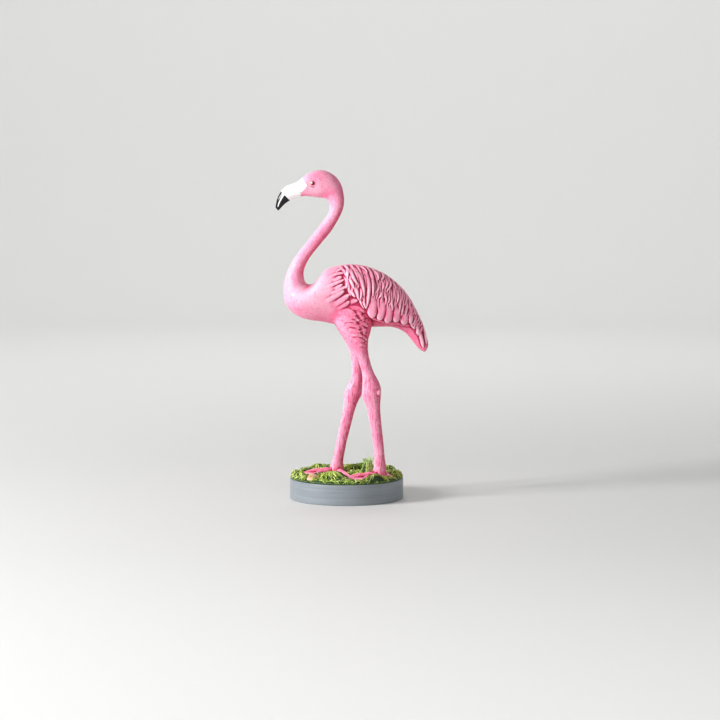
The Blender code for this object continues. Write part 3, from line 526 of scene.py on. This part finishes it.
# Round spots at the eye, each about its own point beside the eye's middle (x, z)
for name, (x, z) in {"eye": (0.6, 0.0), "glint": (-0.3, 0.4), "eye_ring": (-1.6, 0.0)}.items():
    add_mask(bird_mesh, name, np.hypot(carved[:, 0] - EYE[0] - x, carved[:, 2] - EYE[2] - z))
add_mask(bird_mesh, "crease", line_distance(carved, *EYE_CREASE))
add_mask(bird_mesh, "mouth", line_distance(carved, *MOUTH_CORNER))
add_mask(bird_mesh, "foot", 7.0 - carved[:, 2])
add_mask(bird_mesh, "leg", LEG_TOP - carved[:, 2])
carved *= 0.001
carved[:, 2] += SOLE_HEIGHT
move_points(bird_mesh, carved)
bird_mesh.shade_smooth()


def paint_job(name):
    """A material with its shader, ready for coats of paint."""
    paint = bpy.data.materials.new(name)
    paint.use_nodes = True
    return paint, paint.node_tree, paint.node_tree.nodes["Principled BSDF"]


def colour(red, green, blue):
    """A colour as a picture shows it, from 0 to 255, as the light it gives back."""
    share = np.array([red, green, blue]) / 255.0
    light = np.where(share <= 0.04045, share / 12.92, ((share + 0.055) / 1.055) ** 2.4)
    return (*light.tolist(), 1.0)


def mask(tree, name, low, high):
    """A mesh mask turned into 0 below low and 1 above high, or the other way round."""
    source = tree.nodes.new("ShaderNodeAttribute")
    source.attribute_name = name
    return ramp(tree, source.outputs["Fac"], low, high)


def ramp(tree, value, low, high):
    step = tree.nodes.new("ShaderNodeMapRange")
    step.interpolation_type = "SMOOTHSTEP"
    step.inputs["From Min"].default_value = min(low, high)
    step.inputs["From Max"].default_value = max(low, high)
    step.inputs["To Min"].default_value = float(low > high)
    step.inputs["To Max"].default_value = float(low <= high)
    tree.links.new(value, step.inputs["Value"])
    return step.outputs["Result"]


def mottle(tree, scale, detail, low, high, stretch=(1, 1, 1)):
    """Cloudy variation over the piece in its own coordinates, 0 below low and 1 above high."""
    place = tree.nodes.new("ShaderNodeTexCoord")
    turn = tree.nodes.new("ShaderNodeMapping")
    turn.inputs["Scale"].default_value = stretch
    cloud = tree.nodes.new("ShaderNodeTexNoise")
    cloud.inputs["Scale"].default_value = scale
    cloud.inputs["Detail"].default_value = detail
    tree.links.new(place.outputs["Object"], turn.inputs["Vector"])
    tree.links.new(turn.outputs["Vector"], cloud.inputs["Vector"])
    return ramp(tree, cloud.outputs["Fac"], low, high)


def both(tree, one, other):
    """Two masks multiplied."""
    product = tree.nodes.new("ShaderNodeMath")
    product.operation = "MULTIPLY"
    for socket, value in zip(product.inputs, (one, other)):
        if isinstance(value, float):
            socket.default_value = value
        else:
            tree.links.new(value, socket)
    return product.outputs["Value"]


def coat(tree, under, over, where):
    """A coat of paint over another where the mask is 1; either may be a plain colour."""
    brush = tree.nodes.new("ShaderNodeMix")
    brush.data_type = "RGBA"
    for socket, value in ((brush.inputs[6], under), (brush.inputs[7], over)):
        if isinstance(value, tuple):
            socket.default_value = value
        else:
            tree.links.new(value, socket)
    tree.links.new(where, brush.inputs[0])
    return brush.outputs[2]


def coats(tree, under, rows):
    """Coats of paint over one another, each with its colour, its mask and how much it covers."""
    for tint, where, share in rows:
        under = coat(tree, under, colour(*tint), both(tree, where, share))
    return under


def grain(tree, shader, height, depth, strength):
    """A fine surface grain from a height mask, as a bump of the given depth in metres."""
    bump = tree.nodes.new("ShaderNodeBump")
    bump.inputs["Distance"].default_value = depth
    bump.inputs["Strength"].default_value = strength
    tree.links.new(height, bump.inputs["Height"])
    tree.links.new(bump.outputs["Normal"], shader.inputs["Normal"])


bird_paint, tree, shader = paint_job("painted_resin_pink")
shader.inputs["Specular IOR Level"].default_value = 0.4
pale_flecks = mottle(tree, 900.0, 2.0, 0.5, 0.7, (1, 1, 0.5))
dark_flecks = mottle(tree, 750.0, 2.0, 0.56, 0.7, (1, 1, 0.4))
veins = both(tree, mottle(tree, 880.0, 3.0, 0.52, 0.6, (1, 1, 0.16)), mask(tree, "leg", -4.0, 6.0))
crest = mask(tree, "hollow", -0.06, -0.22)
body_crest = both(tree, crest, mask(tree, "leg", 3.0, -3.0))
pink = coat(tree, colour(240, 128, 166), colour(248, 158, 188), mottle(tree, 70.0, 3.0, 0.35, 0.65))
pink = coats(tree, pink, [
    # Deeper on the plumage and the feet, painted light on what faces forwards, painted shade on what faces
    # backwards, and a painted highlight on the breast
    ((246, 98, 142), mask(tree, "plumage", 0.0, 1.0), 0.6),
    ((255, 200, 222), mask(tree, "shade", -0.25, -0.95), 0.65),
    ((226, 36, 90), mask(tree, "shade", 0.12, 0.95), 0.78),
    ((242, 96, 138), mask(tree, "foot", 0.0, 3.0), 0.8),
    ((255, 206, 226), mask(tree, "pale", 1.0, 0.3), 0.55),
    # Flecks, veins on the legs, a crimson wash in the hollows that is also painted shade in the broad ones,
    # and pale ridges and crests, dry-brushed and also a painted highlight
    ((255, 214, 232), pale_flecks, 0.3),
    ((206, 60, 112), dark_flecks, 0.4),
    ((192, 36, 88), veins, 0.5),
    ((220, 38, 96), mask(tree, "broad_hollow", -0.12, 0.26), 0.9),
    ((255, 180, 206), mask(tree, "ridge", 0.35, 0.9), 0.68),
    ((148, 2, 50), mask(tree, "hollow", 0.0, 0.13), 1.0),
    ((255, 210, 226), crest, 0.35),
    ((255, 216, 232), body_crest, 0.5),
    # The ring at the eye, and painted shade along the fold under it
    ((246, 150, 138), mask(tree, "eye_ring", 3.2, 1.6), 0.6),
    ((150, 60, 84), mask(tree, "crease", 0.55, 0.25), 1.0)])
white = coat(tree, colour(246, 244, 246), colour(255, 254, 254), mottle(tree, 90.0, 3.0, 0.3, 0.7))
# A grey line of painted shade in the corner of the mouth
white = coat(tree, white, colour(138, 122, 122), mask(tree, "mouth", 0.7, 0.3))
pink = coat(tree, pink, white, mask(tree, "beak", -0.25, 0.25))
# The black tip, left white along its painted reflection, then the eye and its glint
pink = coats(tree, pink, [
    ((10, 9, 11), mask(tree, "black", -0.18, 0.18), 1.0),
    ((140, 16, 50), mask(tree, "eye", 2.0, 1.6), 1.0),
    ((255, 236, 240), mask(tree, "glint", 0.95, 0.6), 1.0)])
tree.links.new(pink, shader.inputs["Base Color"])
roughness = ramp(tree, mottle(tree, 260.0, 3.0, 0.3, 0.7), -1.2, 2.2)
roughness = both(tree, roughness, ramp(tree, mask(tree, "black", 0.18, -0.18), -0.6, 1.0))
tree.links.new(roughness, shader.inputs["Roughness"])
rough_spots = both(tree, mottle(tree, 1100.0, 3.0, 0.25, 0.75), mask(tree, "beak", 0.3, -0.3))
grain(tree, shader, rough_spots, 0.0004, 0.16)

flamingo = bpy.data.objects.new("flamingo_painted", bird_mesh)
bpy.context.scene.collection.objects.link(flamingo)
bird_mesh.materials.clear()
bird_mesh.materials.append(bird_paint)
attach(flamingo, "root")
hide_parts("flamingo")


# The turf: a pad of modelled grass, cast in resin and painted, glued on the plinth. Its ground is
# one surface with mounds, and the blades are fine tapered bars combed over the mounds.
PAD_FLOOR = 0.0183            # metres from the floor to the pad's underside
PAD_THICKNESS = 1.6           # trodden ground, under the feet
PAD_RADIUS = 49.3
FOOT_CLEARANCE = 0.9          # bare ground kept round each foot

# Grass tufts: middle (x, y), spread, height above the trodden ground, and number of blades
TUFTS = [(-11.0, -31.0, 14.0, 8.0, 78), (24.0, -36.5, 10.0, 6.0, 56), (41.0, -6.0, 8.0, 5.0, 42),
         (-41.0, -15.0, 8.0, 4.5, 40), (19.0, 5.0, 6.5, 14.0, 36), (5.0, 21.0, 10.0, 7.0, 54),
         (-25.0, 35.0, 10.0, 5.0, 50), (14.0, 37.0, 9.0, 5.5, 48), (35.0, 22.0, 10.0, 6.0, 52)]
UPRIGHT_BLADES = {4: 46, 5: 34}     # tufts that have upright blades too, and how many
PEBBLE = (-29.0, -32.0, 5.6, 5.4)   # middle (x, y), radius and height
TRODDEN = (7.0, -39.0, 6.0)   # flat ground in front of the left foot: middle (x, y) and radius
MOUND = 0.8                   # height of the mound under a tuft, as a share of the tuft's
BLADE_THICKNESS = 0.52        # half thickness of a combed blade at its root
SHORT_BLADES = 1800
RIM_BLADES = 260
COMBED_RINGS, COMBED_SIDES = 9, 6   # in the mesh of a combed or upright blade
SHORT_RINGS, SHORT_SIDES = 6, 4     # in that of a short blade or one at the rim


def foot_distance(x, y):
    """How far a spot on the ground is from the nearest foot; inside a foot it is negative."""
    nearest = np.full(x.shape, np.inf)
    for foot, ankle_size in ((LEFT_FOOT, LEFT_LEG[-1][3]), (RIGHT_FOOT, RIGHT_LEG[-1][3])):
        across, along = x - foot[0][0], y - foot[0][1]
        for turn, reach in toes_of(foot):
            ahead = heading(turn)
            t = np.clip((across * ahead[0] + along * ahead[1]) / reach, 0.0, 1.0) * reach
            gap = np.hypot(across - t * ahead[0], along - t * ahead[1])
            nearest = np.minimum(nearest, gap - TOE_ROOT)
        off_heading = (np.degrees(np.arctan2(along, across)) - foot[1] + 180.0) % 360.0 - 180.0
        on_web = (np.abs(off_heading) < TOE_SPREAD) & (np.hypot(across, along) < MIDDLE_TOE)
        nearest = np.where(on_web, -TOE_ROOT, nearest)
        nearest = np.minimum(nearest, np.hypot(across, along) - ankle_size)
    return nearest


def crumb(x, y, reach, seed):
    """Smooth unevenness, mostly from -1 to 1: a third of the sum of six waves of about that reach, each
    in its own direction with its own start."""
    total = np.zeros(np.shape(x))
    for i in range(6):
        turn = seed + 2.4 * i
        along = x * np.cos(turn) + y * np.sin(turn)
        total += np.sin(along * 2 * np.pi / (reach * (0.7 + 0.1 * i)) + seed * i)
    return total / 3


def pad_height(x, y):
    """The pad's ground over its trodden level: the highest of a low crumb, a dome under each tuft,
    one minus the square of the distance over the spread, and the pebble's half ball; it sinks to
    nothing at the feet, on the trodden spot and at the rim."""
    height = 0.45 + 0.28 * crumb(x, y, 5.0, 1.0) + 0.18 * crumb(x, y, 1.9, 2.0)
    for cx, cy, spread, tall, _ in TUFTS:
        dome = 1 - ((x - cx) ** 2 + (y - cy) ** 2) / spread ** 2
        height = np.maximum(height, MOUND * tall * np.clip(dome, 0.0, 1.0) + 0.2 * crumb(x, y, 1.6, 3.0))
    cx, cy, radius, tall = PEBBLE
    away = ((x - cx) ** 2 + (y - cy) ** 2) / radius ** 2
    pebble = tall * np.sqrt(np.clip(1 - away, 0, 1)) * (1 + 0.05 * crumb(x, y, 7.0, 4.0))
    height = np.maximum(height, pebble)
    height = height * np.clip((foot_distance(x, y) - FOOT_CLEARANCE) / 1.5, 0.0, 1.0)
    height = height * np.clip(np.hypot(x - TRODDEN[0], y - TRODDEN[1]) / TRODDEN[2] - 0.5, 0.0, 1.0)
    return np.maximum(height * np.clip((PAD_RADIUS - np.hypot(x, y)) / 1.6, 0.0, 1.0), 0.0)


def ground_skin():
    """The pad: rings from the middle outwards, a wall down to the plinth, and a flat underside."""
    out = PAD_RADIUS * np.linspace(0.0, 1.0, 111)[1:] ** 0.85
    ahead, aside = full_turn(320)
    x, y = np.outer(out, ahead), np.outer(out, aside)
    top = np.stack([x, y, PAD_THICKNESS + pad_height(x, y)], axis=2)
    wall = top[-1:] * np.array([1.0, 1.0, 0.0])
    return tubes(np.concatenate([wall, top[::-1]])[None])


def bars(paths, sizes, sides):
    """Tapered bars along n paths of m points: each ring stands square to its path, on the axes across
    and above it."""
    along = np.gradient(paths, axis=1)
    along /= np.linalg.norm(along, axis=2, keepdims=True)
    aside = np.cross(along, (0.0, 0.0, 1.0))
    aside /= np.linalg.norm(aside, axis=2, keepdims=True) + 1e-9
    above = np.cross(aside, along)
    right, up = full_turn(sides)
    ring = aside[:, :, None] * right[:, None] + above[:, :, None] * up[:, None]
    return paths[:, :, None] + ring * sizes[:, :, None, None]


def combed_paths(tuft, first):
    """Blades over a tuft's mound: the share of its spread grows along a blade while the blade turns
    round the tuft, and its height is the mound's plus a rise that fades to the tip. The blades are
    counted from the first one's number, which also sets how far the tuft swirls."""
    cx, cy, spread, tall, count = tuft
    i = (np.arange(count) + first)[:, None]
    t = np.linspace(0.0, 1.0, COMBED_RINGS)[None, :]
    start = 0.02 + 0.38 * (0.618 * i % 1.0)
    share = start + (0.62 + 0.22 * (0.414 * i % 1.0)) * t
    swirl = 34.0 * np.sin(0.021 * first + 1.2) * (1.0 + 0.5 * np.sin(2.7 * i))
    turn = np.radians(137.5 * i + swirl * t + 14.0 * np.sin(1.7 * i))
    x = cx + spread * share * np.cos(turn)
    y = cy + spread * share * np.sin(turn)
    mound = MOUND * tall * np.clip(1.0 - share ** 2, 0.0, 1.0)
    rise = 0.45 + 1.0 * (0.755 * i % 1.0)
    z = PAD_THICKNESS + mound + 0.3 + rise * np.sin(np.pi * (0.25 + 0.7 * t))
    return np.stack([x, y, z], axis=2)


def upright_paths(tuft, count):
    """Upright blades of a tuft: each starts low near its middle, rises with a quarter sine and leans
    out with the square of its length."""
    cx, cy, spread, tall, _ = tuft
    i = np.arange(count)[:, None]
    t = np.linspace(0.0, 1.0, COMBED_RINGS)[None, :]
    turn = np.radians(137.5 * i + 25.0 * t)
    stem = spread * (0.12 + 0.34 * (0.618 * i % 1.0)) * (0.6 + 0.4 * t)
    lean = spread * (0.2 + 0.5 * (0.414 * i % 1.0)) * t ** 2
    out = stem + lean
    z = PAD_THICKNESS + tall * (0.66 + 0.46 * (0.755 * i % 1.0)) * np.sin(t * np.pi / 2)
    return np.stack([cx + out * np.cos(turn), cy + out * np.sin(turn), z], axis=2)


def rim_paths(count):
    """Blades that hang over the pad's edge: evenly round the rim, each leaning out and a little to
    one side, arched with half a sine and falling with the square of its length."""
    i = np.arange(count)[:, None]
    t = np.linspace(0.0, 1.0, SHORT_RINGS)[None, :]
    out = PAD_RADIUS - 6.0 + 2.4 * (0.618 * i % 1.0) + (4.2 + 1.8 * (0.414 * i % 1.0)) * t
    out = np.minimum(out, PAD_RADIUS + 0.35)
    turn = np.radians(360.0 / count * i + (11.0 * np.sin(2.3 * i)) * t)
    z = PAD_THICKNESS + 0.9 - (1.5 + 1.0 * (0.755 * i % 1.0)) * t ** 2 + 0.9 * np.sin(np.pi * t)
    return np.stack([out * np.cos(turn), out * np.sin(turn), z], axis=2)


def short_paths(count):
    """Short blades over the rest of the ground: spots on a sunflower spiral, each blade leaning its
    own way, and rising and dipping again with a sine of its length."""
    i = np.arange(count)[:, None]
    t = np.linspace(0.0, 1.0, SHORT_RINGS)[None, :]
    out = (PAD_RADIUS - 0.8) * np.sqrt((i + 0.5) / count)
    turn = np.radians(137.508 * i)
    lean = np.radians(360.0 * (np.sin(12.9898 * i) * 43.7585 % 1.0) + 40.0 * t)
    reach = 3.4 + 3.0 * (0.618 * i % 1.0)
    x = (out + 1.2 * np.sin(5.1 * i)) * np.cos(turn) + reach * t * np.cos(lean)
    y = (out + 1.2 * np.sin(5.1 * i)) * np.sin(turn) + reach * t * np.sin(lean)
    z = PAD_THICKNESS + pad_height(x, y) * 0.9 + (1.2 + 2.1 * (0.755 * i % 1.0)) * np.sin(t * np.pi * 0.75)
    return np.stack([x, y, z], axis=2)


def clear_of_feet(paths):
    """The blades that lie inside the rim and not over a foot, the pebble or the trodden spot."""
    x, y = paths[..., 0], paths[..., 1]
    clear = foot_distance(x, y).min(axis=1) > FOOT_CLEARANCE * 0.6
    for cx, cy, radius in (PEBBLE[:3], TRODDEN):
        clear &= np.hypot(x - cx, y - cy).min(axis=1) > radius * 0.85
    return paths[clear & (np.hypot(x, y).max(axis=1) < PAD_RADIUS + 0.5)]


def between_tufts(paths):
    """The blades that start on no tuft."""
    roots = paths[:, 0]
    free = [np.hypot(roots[:, 0] - cx, roots[:, 1] - cy) > 0.8 * spread for cx, cy, spread, _, _ in TUFTS]
    return paths[np.all(free, axis=0)]


combed = [combed_paths(tuft, 100 * k) for k, tuft in enumerate(TUFTS)]
combed += [upright_paths(TUFTS[k], count) for k, count in UPRIGHT_BLADES.items()]
combed = clear_of_feet(np.concatenate(combed))
short = clear_of_feet(np.concatenate([between_tufts(short_paths(SHORT_BLADES)), rim_paths(RIM_BLADES)]))
combed_sizes = BLADE_THICKNESS * np.linspace(1.0, 0.25, COMBED_RINGS) ** 0.8
short_sizes = np.linspace(0.56, 0.2, SHORT_RINGS)
combed_skin = tubes(bars(combed, np.broadcast_to(combed_sizes, combed.shape[:2]), COMBED_SIDES))
short_skin = tubes(bars(short, np.broadcast_to(short_sizes, short.shape[:2]), SHORT_SIDES))
ground = ground_skin()
turf_mesh = mesh_from("turf_painted", [ground, combed_skin, short_skin])
pad = points_of(turf_mesh)

# A tone for each blade, from 0 to 1, and -1 on the ground; the ends of a blade are half way
blade_tone = np.concatenate([
    np.full(len(ground[0]), -1.0),
    np.repeat(0.618 * np.arange(len(combed)) % 1.0, COMBED_RINGS * COMBED_SIDES),
    np.full(2 * len(combed), 0.5),
    np.repeat(0.618 * np.arange(len(short)) % 1.0, SHORT_RINGS * SHORT_SIDES),
    np.full(2 * len(short), 0.5)])
add_mask(turf_mesh, "tone", np.clip(blade_tone, 0.0, 1.0))
add_mask(turf_mesh, "blade", (blade_tone >= 0.0).astype(float))
add_mask(turf_mesh, "height", pad[:, 2] - PAD_THICKNESS)
in_pebble = PEBBLE[2] - np.hypot(pad[:, 0] - PEBBLE[0], pad[:, 1] - PEBBLE[1])
add_mask(turf_mesh, "pebble", np.where(blade_tone < 0, in_pebble, -1))
add_mask(turf_mesh, "straw", pad[:, 0] - 0.6 * pad[:, 1])    # the drier blades stand behind the bird
pad *= 0.001
pad[:, 2] += PAD_FLOOR
move_points(turf_mesh, pad)
turf_mesh.shade_smooth()

turf_paint, tree, shader = paint_job("painted_resin_grass")
shader.inputs["Roughness"].default_value = 0.5
# The ground, with lighter patches of painted light on the pad's wall
painted_light_patches = both(tree, mask(tree, "height", -0.1, -0.7), mottle(tree, 600.0, 3.0, 0.4, 0.6))
grass = coat(tree, colour(22, 42, 14), colour(64, 98, 30), mottle(tree, 420.0, 4.0, 0.4, 0.7))
grass = coat(tree, grass, colour(78, 112, 36), painted_light_patches)
# The blades: each in its tone, some straw-coloured, some dark, the highest pale, and the lowest paler as
# painted light where they hang in shade
blade = coat(tree, colour(58, 100, 28), colour(178, 206, 76), mask(tree, "tone", 0.05, 0.5))
blade = coats(tree, blade, [
    ((230, 238, 150), mask(tree, "tone", 0.6, 0.9), 1.0),
    ((176, 158, 74), mask(tree, "straw", 34.0, 62.0), 0.5),
    ((24, 50, 16), mottle(tree, 200.0, 3.0, 0.56, 0.74), 0.4),
    ((184, 216, 128), mask(tree, "height", 6.5, 12.0), 0.8),
    ((132, 172, 66), mask(tree, "height", 1.2, 0.0), 0.5)])
grass = coat(tree, grass, blade, mask(tree, "blade", 0.4, 0.6))
stone = coat(tree, colour(190, 132, 98), colour(240, 198, 164), mottle(tree, 320.0, 4.0, 0.3, 0.7))
grass = coat(tree, grass, stone, mask(tree, "pebble", -0.1, 0.3))
tree.links.new(grass, shader.inputs["Base Color"])
grain(tree, shader, mottle(tree, 1500.0, 3.0, 0.25, 0.75), 0.0004, 0.3)

turf = bpy.data.objects.new("turf_painted", turf_mesh)
bpy.context.scene.collection.objects.link(turf)
turf_mesh.materials.clear()
turf_mesh.materials.append(turf_paint)
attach(turf, "root")
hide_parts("turf")


# The plinth: a turned resin disc in satin grey, with fine turning marks round its wall and both
# rims eased.
PLINTH_RADIUS = 0.1001 / 2
PLINTH_HEIGHT = 0.018
PLINTH_SIDES = 256
RIM = 0.0008                  # radius of the eased rims


def turned(profile, sides):
    """A lathe shape: the profile's radius times the cosine and sine of a full turn."""
    ahead, aside = full_turn(sides)
    x, y = np.outer(profile[:, 0], ahead), np.outer(profile[:, 0], aside)
    return tubes(np.stack([x, y, np.broadcast_to(profile[:, 1:], x.shape)], axis=2)[None])


quarter = np.linspace(0.0, np.pi / 2, 7)
lower_rim = np.column_stack([PLINTH_RADIUS - RIM + RIM * np.sin(quarter), RIM - RIM * np.cos(quarter)])
upper_rim = np.column_stack([PLINTH_RADIUS - RIM + RIM * np.cos(quarter),
                             PLINTH_HEIGHT - RIM + RIM * np.sin(quarter)])
wall = np.column_stack([np.full(14, PLINTH_RADIUS), np.linspace(RIM, PLINTH_HEIGHT - RIM, 16)[1:-1]])
inner = np.array([[0.012, 0.0], [0.036, 0.0]])
profile = np.concatenate([inner, lower_rim, wall, upper_rim, inner[::-1] + (0.0, PLINTH_HEIGHT)])
plinth_mesh = mesh_from("plinth_painted", [turned(profile, PLINTH_SIDES)])
plinth_mesh.shade_smooth()
plinth_mesh.set_sharp_from_angle(angle=np.radians(50))

plinth_paint, tree, shader = paint_job("satin_grey")
shader.inputs["Specular IOR Level"].default_value = 0.55
light_bands = mottle(tree, 60.0, 4.0, 0.3, 0.7, (0.25, 0.25, 20.0))
dark_bands = mottle(tree, 300.0, 3.0, 0.5, 0.75, (0.12, 0.12, 5.0))
turning_marks = mottle(tree, 260.0, 3.0, 0.2, 0.8, (0.12, 0.12, 10.0))
grey = coat(tree, colour(128, 135, 142), colour(142, 149, 156), light_bands)
grey = coat(tree, grey, colour(108, 114, 121), both(tree, dark_bands, 0.4))
tree.links.new(grey, shader.inputs["Base Color"])
shader.inputs["Roughness"].default_value = 0.38
grain(tree, shader, turning_marks, 0.0002, 0.12)

plinth = bpy.data.objects.new("plinth_painted", plinth_mesh)
bpy.context.scene.collection.objects.link(plinth)
plinth_mesh.materials.append(plinth_paint)
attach(plinth, "root")
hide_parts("plinth")


# The stage: a pale floor that sweeps up far out on all sides, a soft light from the left, a wide one
# overhead, and two that light the floor's rising wall in front and behind.
FLOOR_SIDES = 96

bend = np.linspace(0.0, np.pi / 2, 25)
sweep = np.column_stack([2.2 + 1.6 * np.sin(bend), 1.6 - 1.6 * np.cos(bend)])
sweep = np.concatenate([[(0.001, 0.0), (1.0, 0.0)], sweep, [(3.8, 3.0)]])
floor_ahead, floor_aside = full_turn(FLOOR_SIDES)
floor_points = np.stack([np.outer(sweep[:, 0], floor_ahead), np.outer(sweep[:, 0], floor_aside),
                         np.broadcast_to(sweep[:, 1:], (len(sweep), FLOOR_SIDES))], axis=2).reshape(-1, 3)
corner = np.arange(len(floor_points)).reshape(-1, FLOOR_SIDES)
next_corner = np.roll(corner, -1, axis=1)
floor_faces = np.stack([corner[:-1], corner[1:], next_corner[1:], next_corner[:-1]], axis=-1)
floor_faces = floor_faces.reshape(-1, 4).tolist() + [tuple(range(FLOOR_SIDES))]
floor_mesh = bpy.data.meshes.new("floor")
floor_mesh.from_pydata(floor_points.tolist(), [], floor_faces)
floor_mesh.shade_smooth()
floor = bpy.data.objects.new("floor", floor_mesh)
bpy.context.scene.collection.objects.link(floor)
floor_paint, tree, shader = paint_job("pale_floor")
shader.inputs["Base Color"].default_value = colour(222, 222, 220)
shader.inputs["Roughness"].default_value = 0.6
floor_mesh.materials.append(floor_paint)


def soft_light(name, place, aim, size, power):
    """A square area light at a place, turned so that it shines on the aim."""
    lamp = bpy.data.objects.new(name, bpy.data.lights.new(name, "AREA"))
    lamp.data.size = size
    lamp.data.energy = power
    beam = np.array(aim, float) - np.array(place, float)
    lamp.location = place
    lamp.rotation_euler = (np.arctan2(np.hypot(beam[0], beam[1]), -beam[2]), 0.0,
                           np.arctan2(-beam[0], beam[1]))
    bpy.context.scene.collection.objects.link(lamp)


soft_light("key", (-1.62, -0.72, 0.8), (0.0, 0.0, 0.15), 0.55, 43.0)
soft_light("overhead", (0.0, 0.0, 2.9), (0.0, 0.0, 0.1), 3.0, 14.0)
for side in (-1, 1):
    soft_light("wall_light", (0.0, 1.1 * side, 2.3), (0.0, 3.8 * side, 0.7), 1.6, 46.0)
sky = bpy.data.worlds.new("sky")
sky.use_nodes = True
sky.node_tree.nodes["Background"].inputs["Color"].default_value = (0.93, 0.95, 1.0, 1.0)
sky.node_tree.nodes["Background"].inputs["Strength"].default_value = 0.13
bpy.context.scene.world = sky
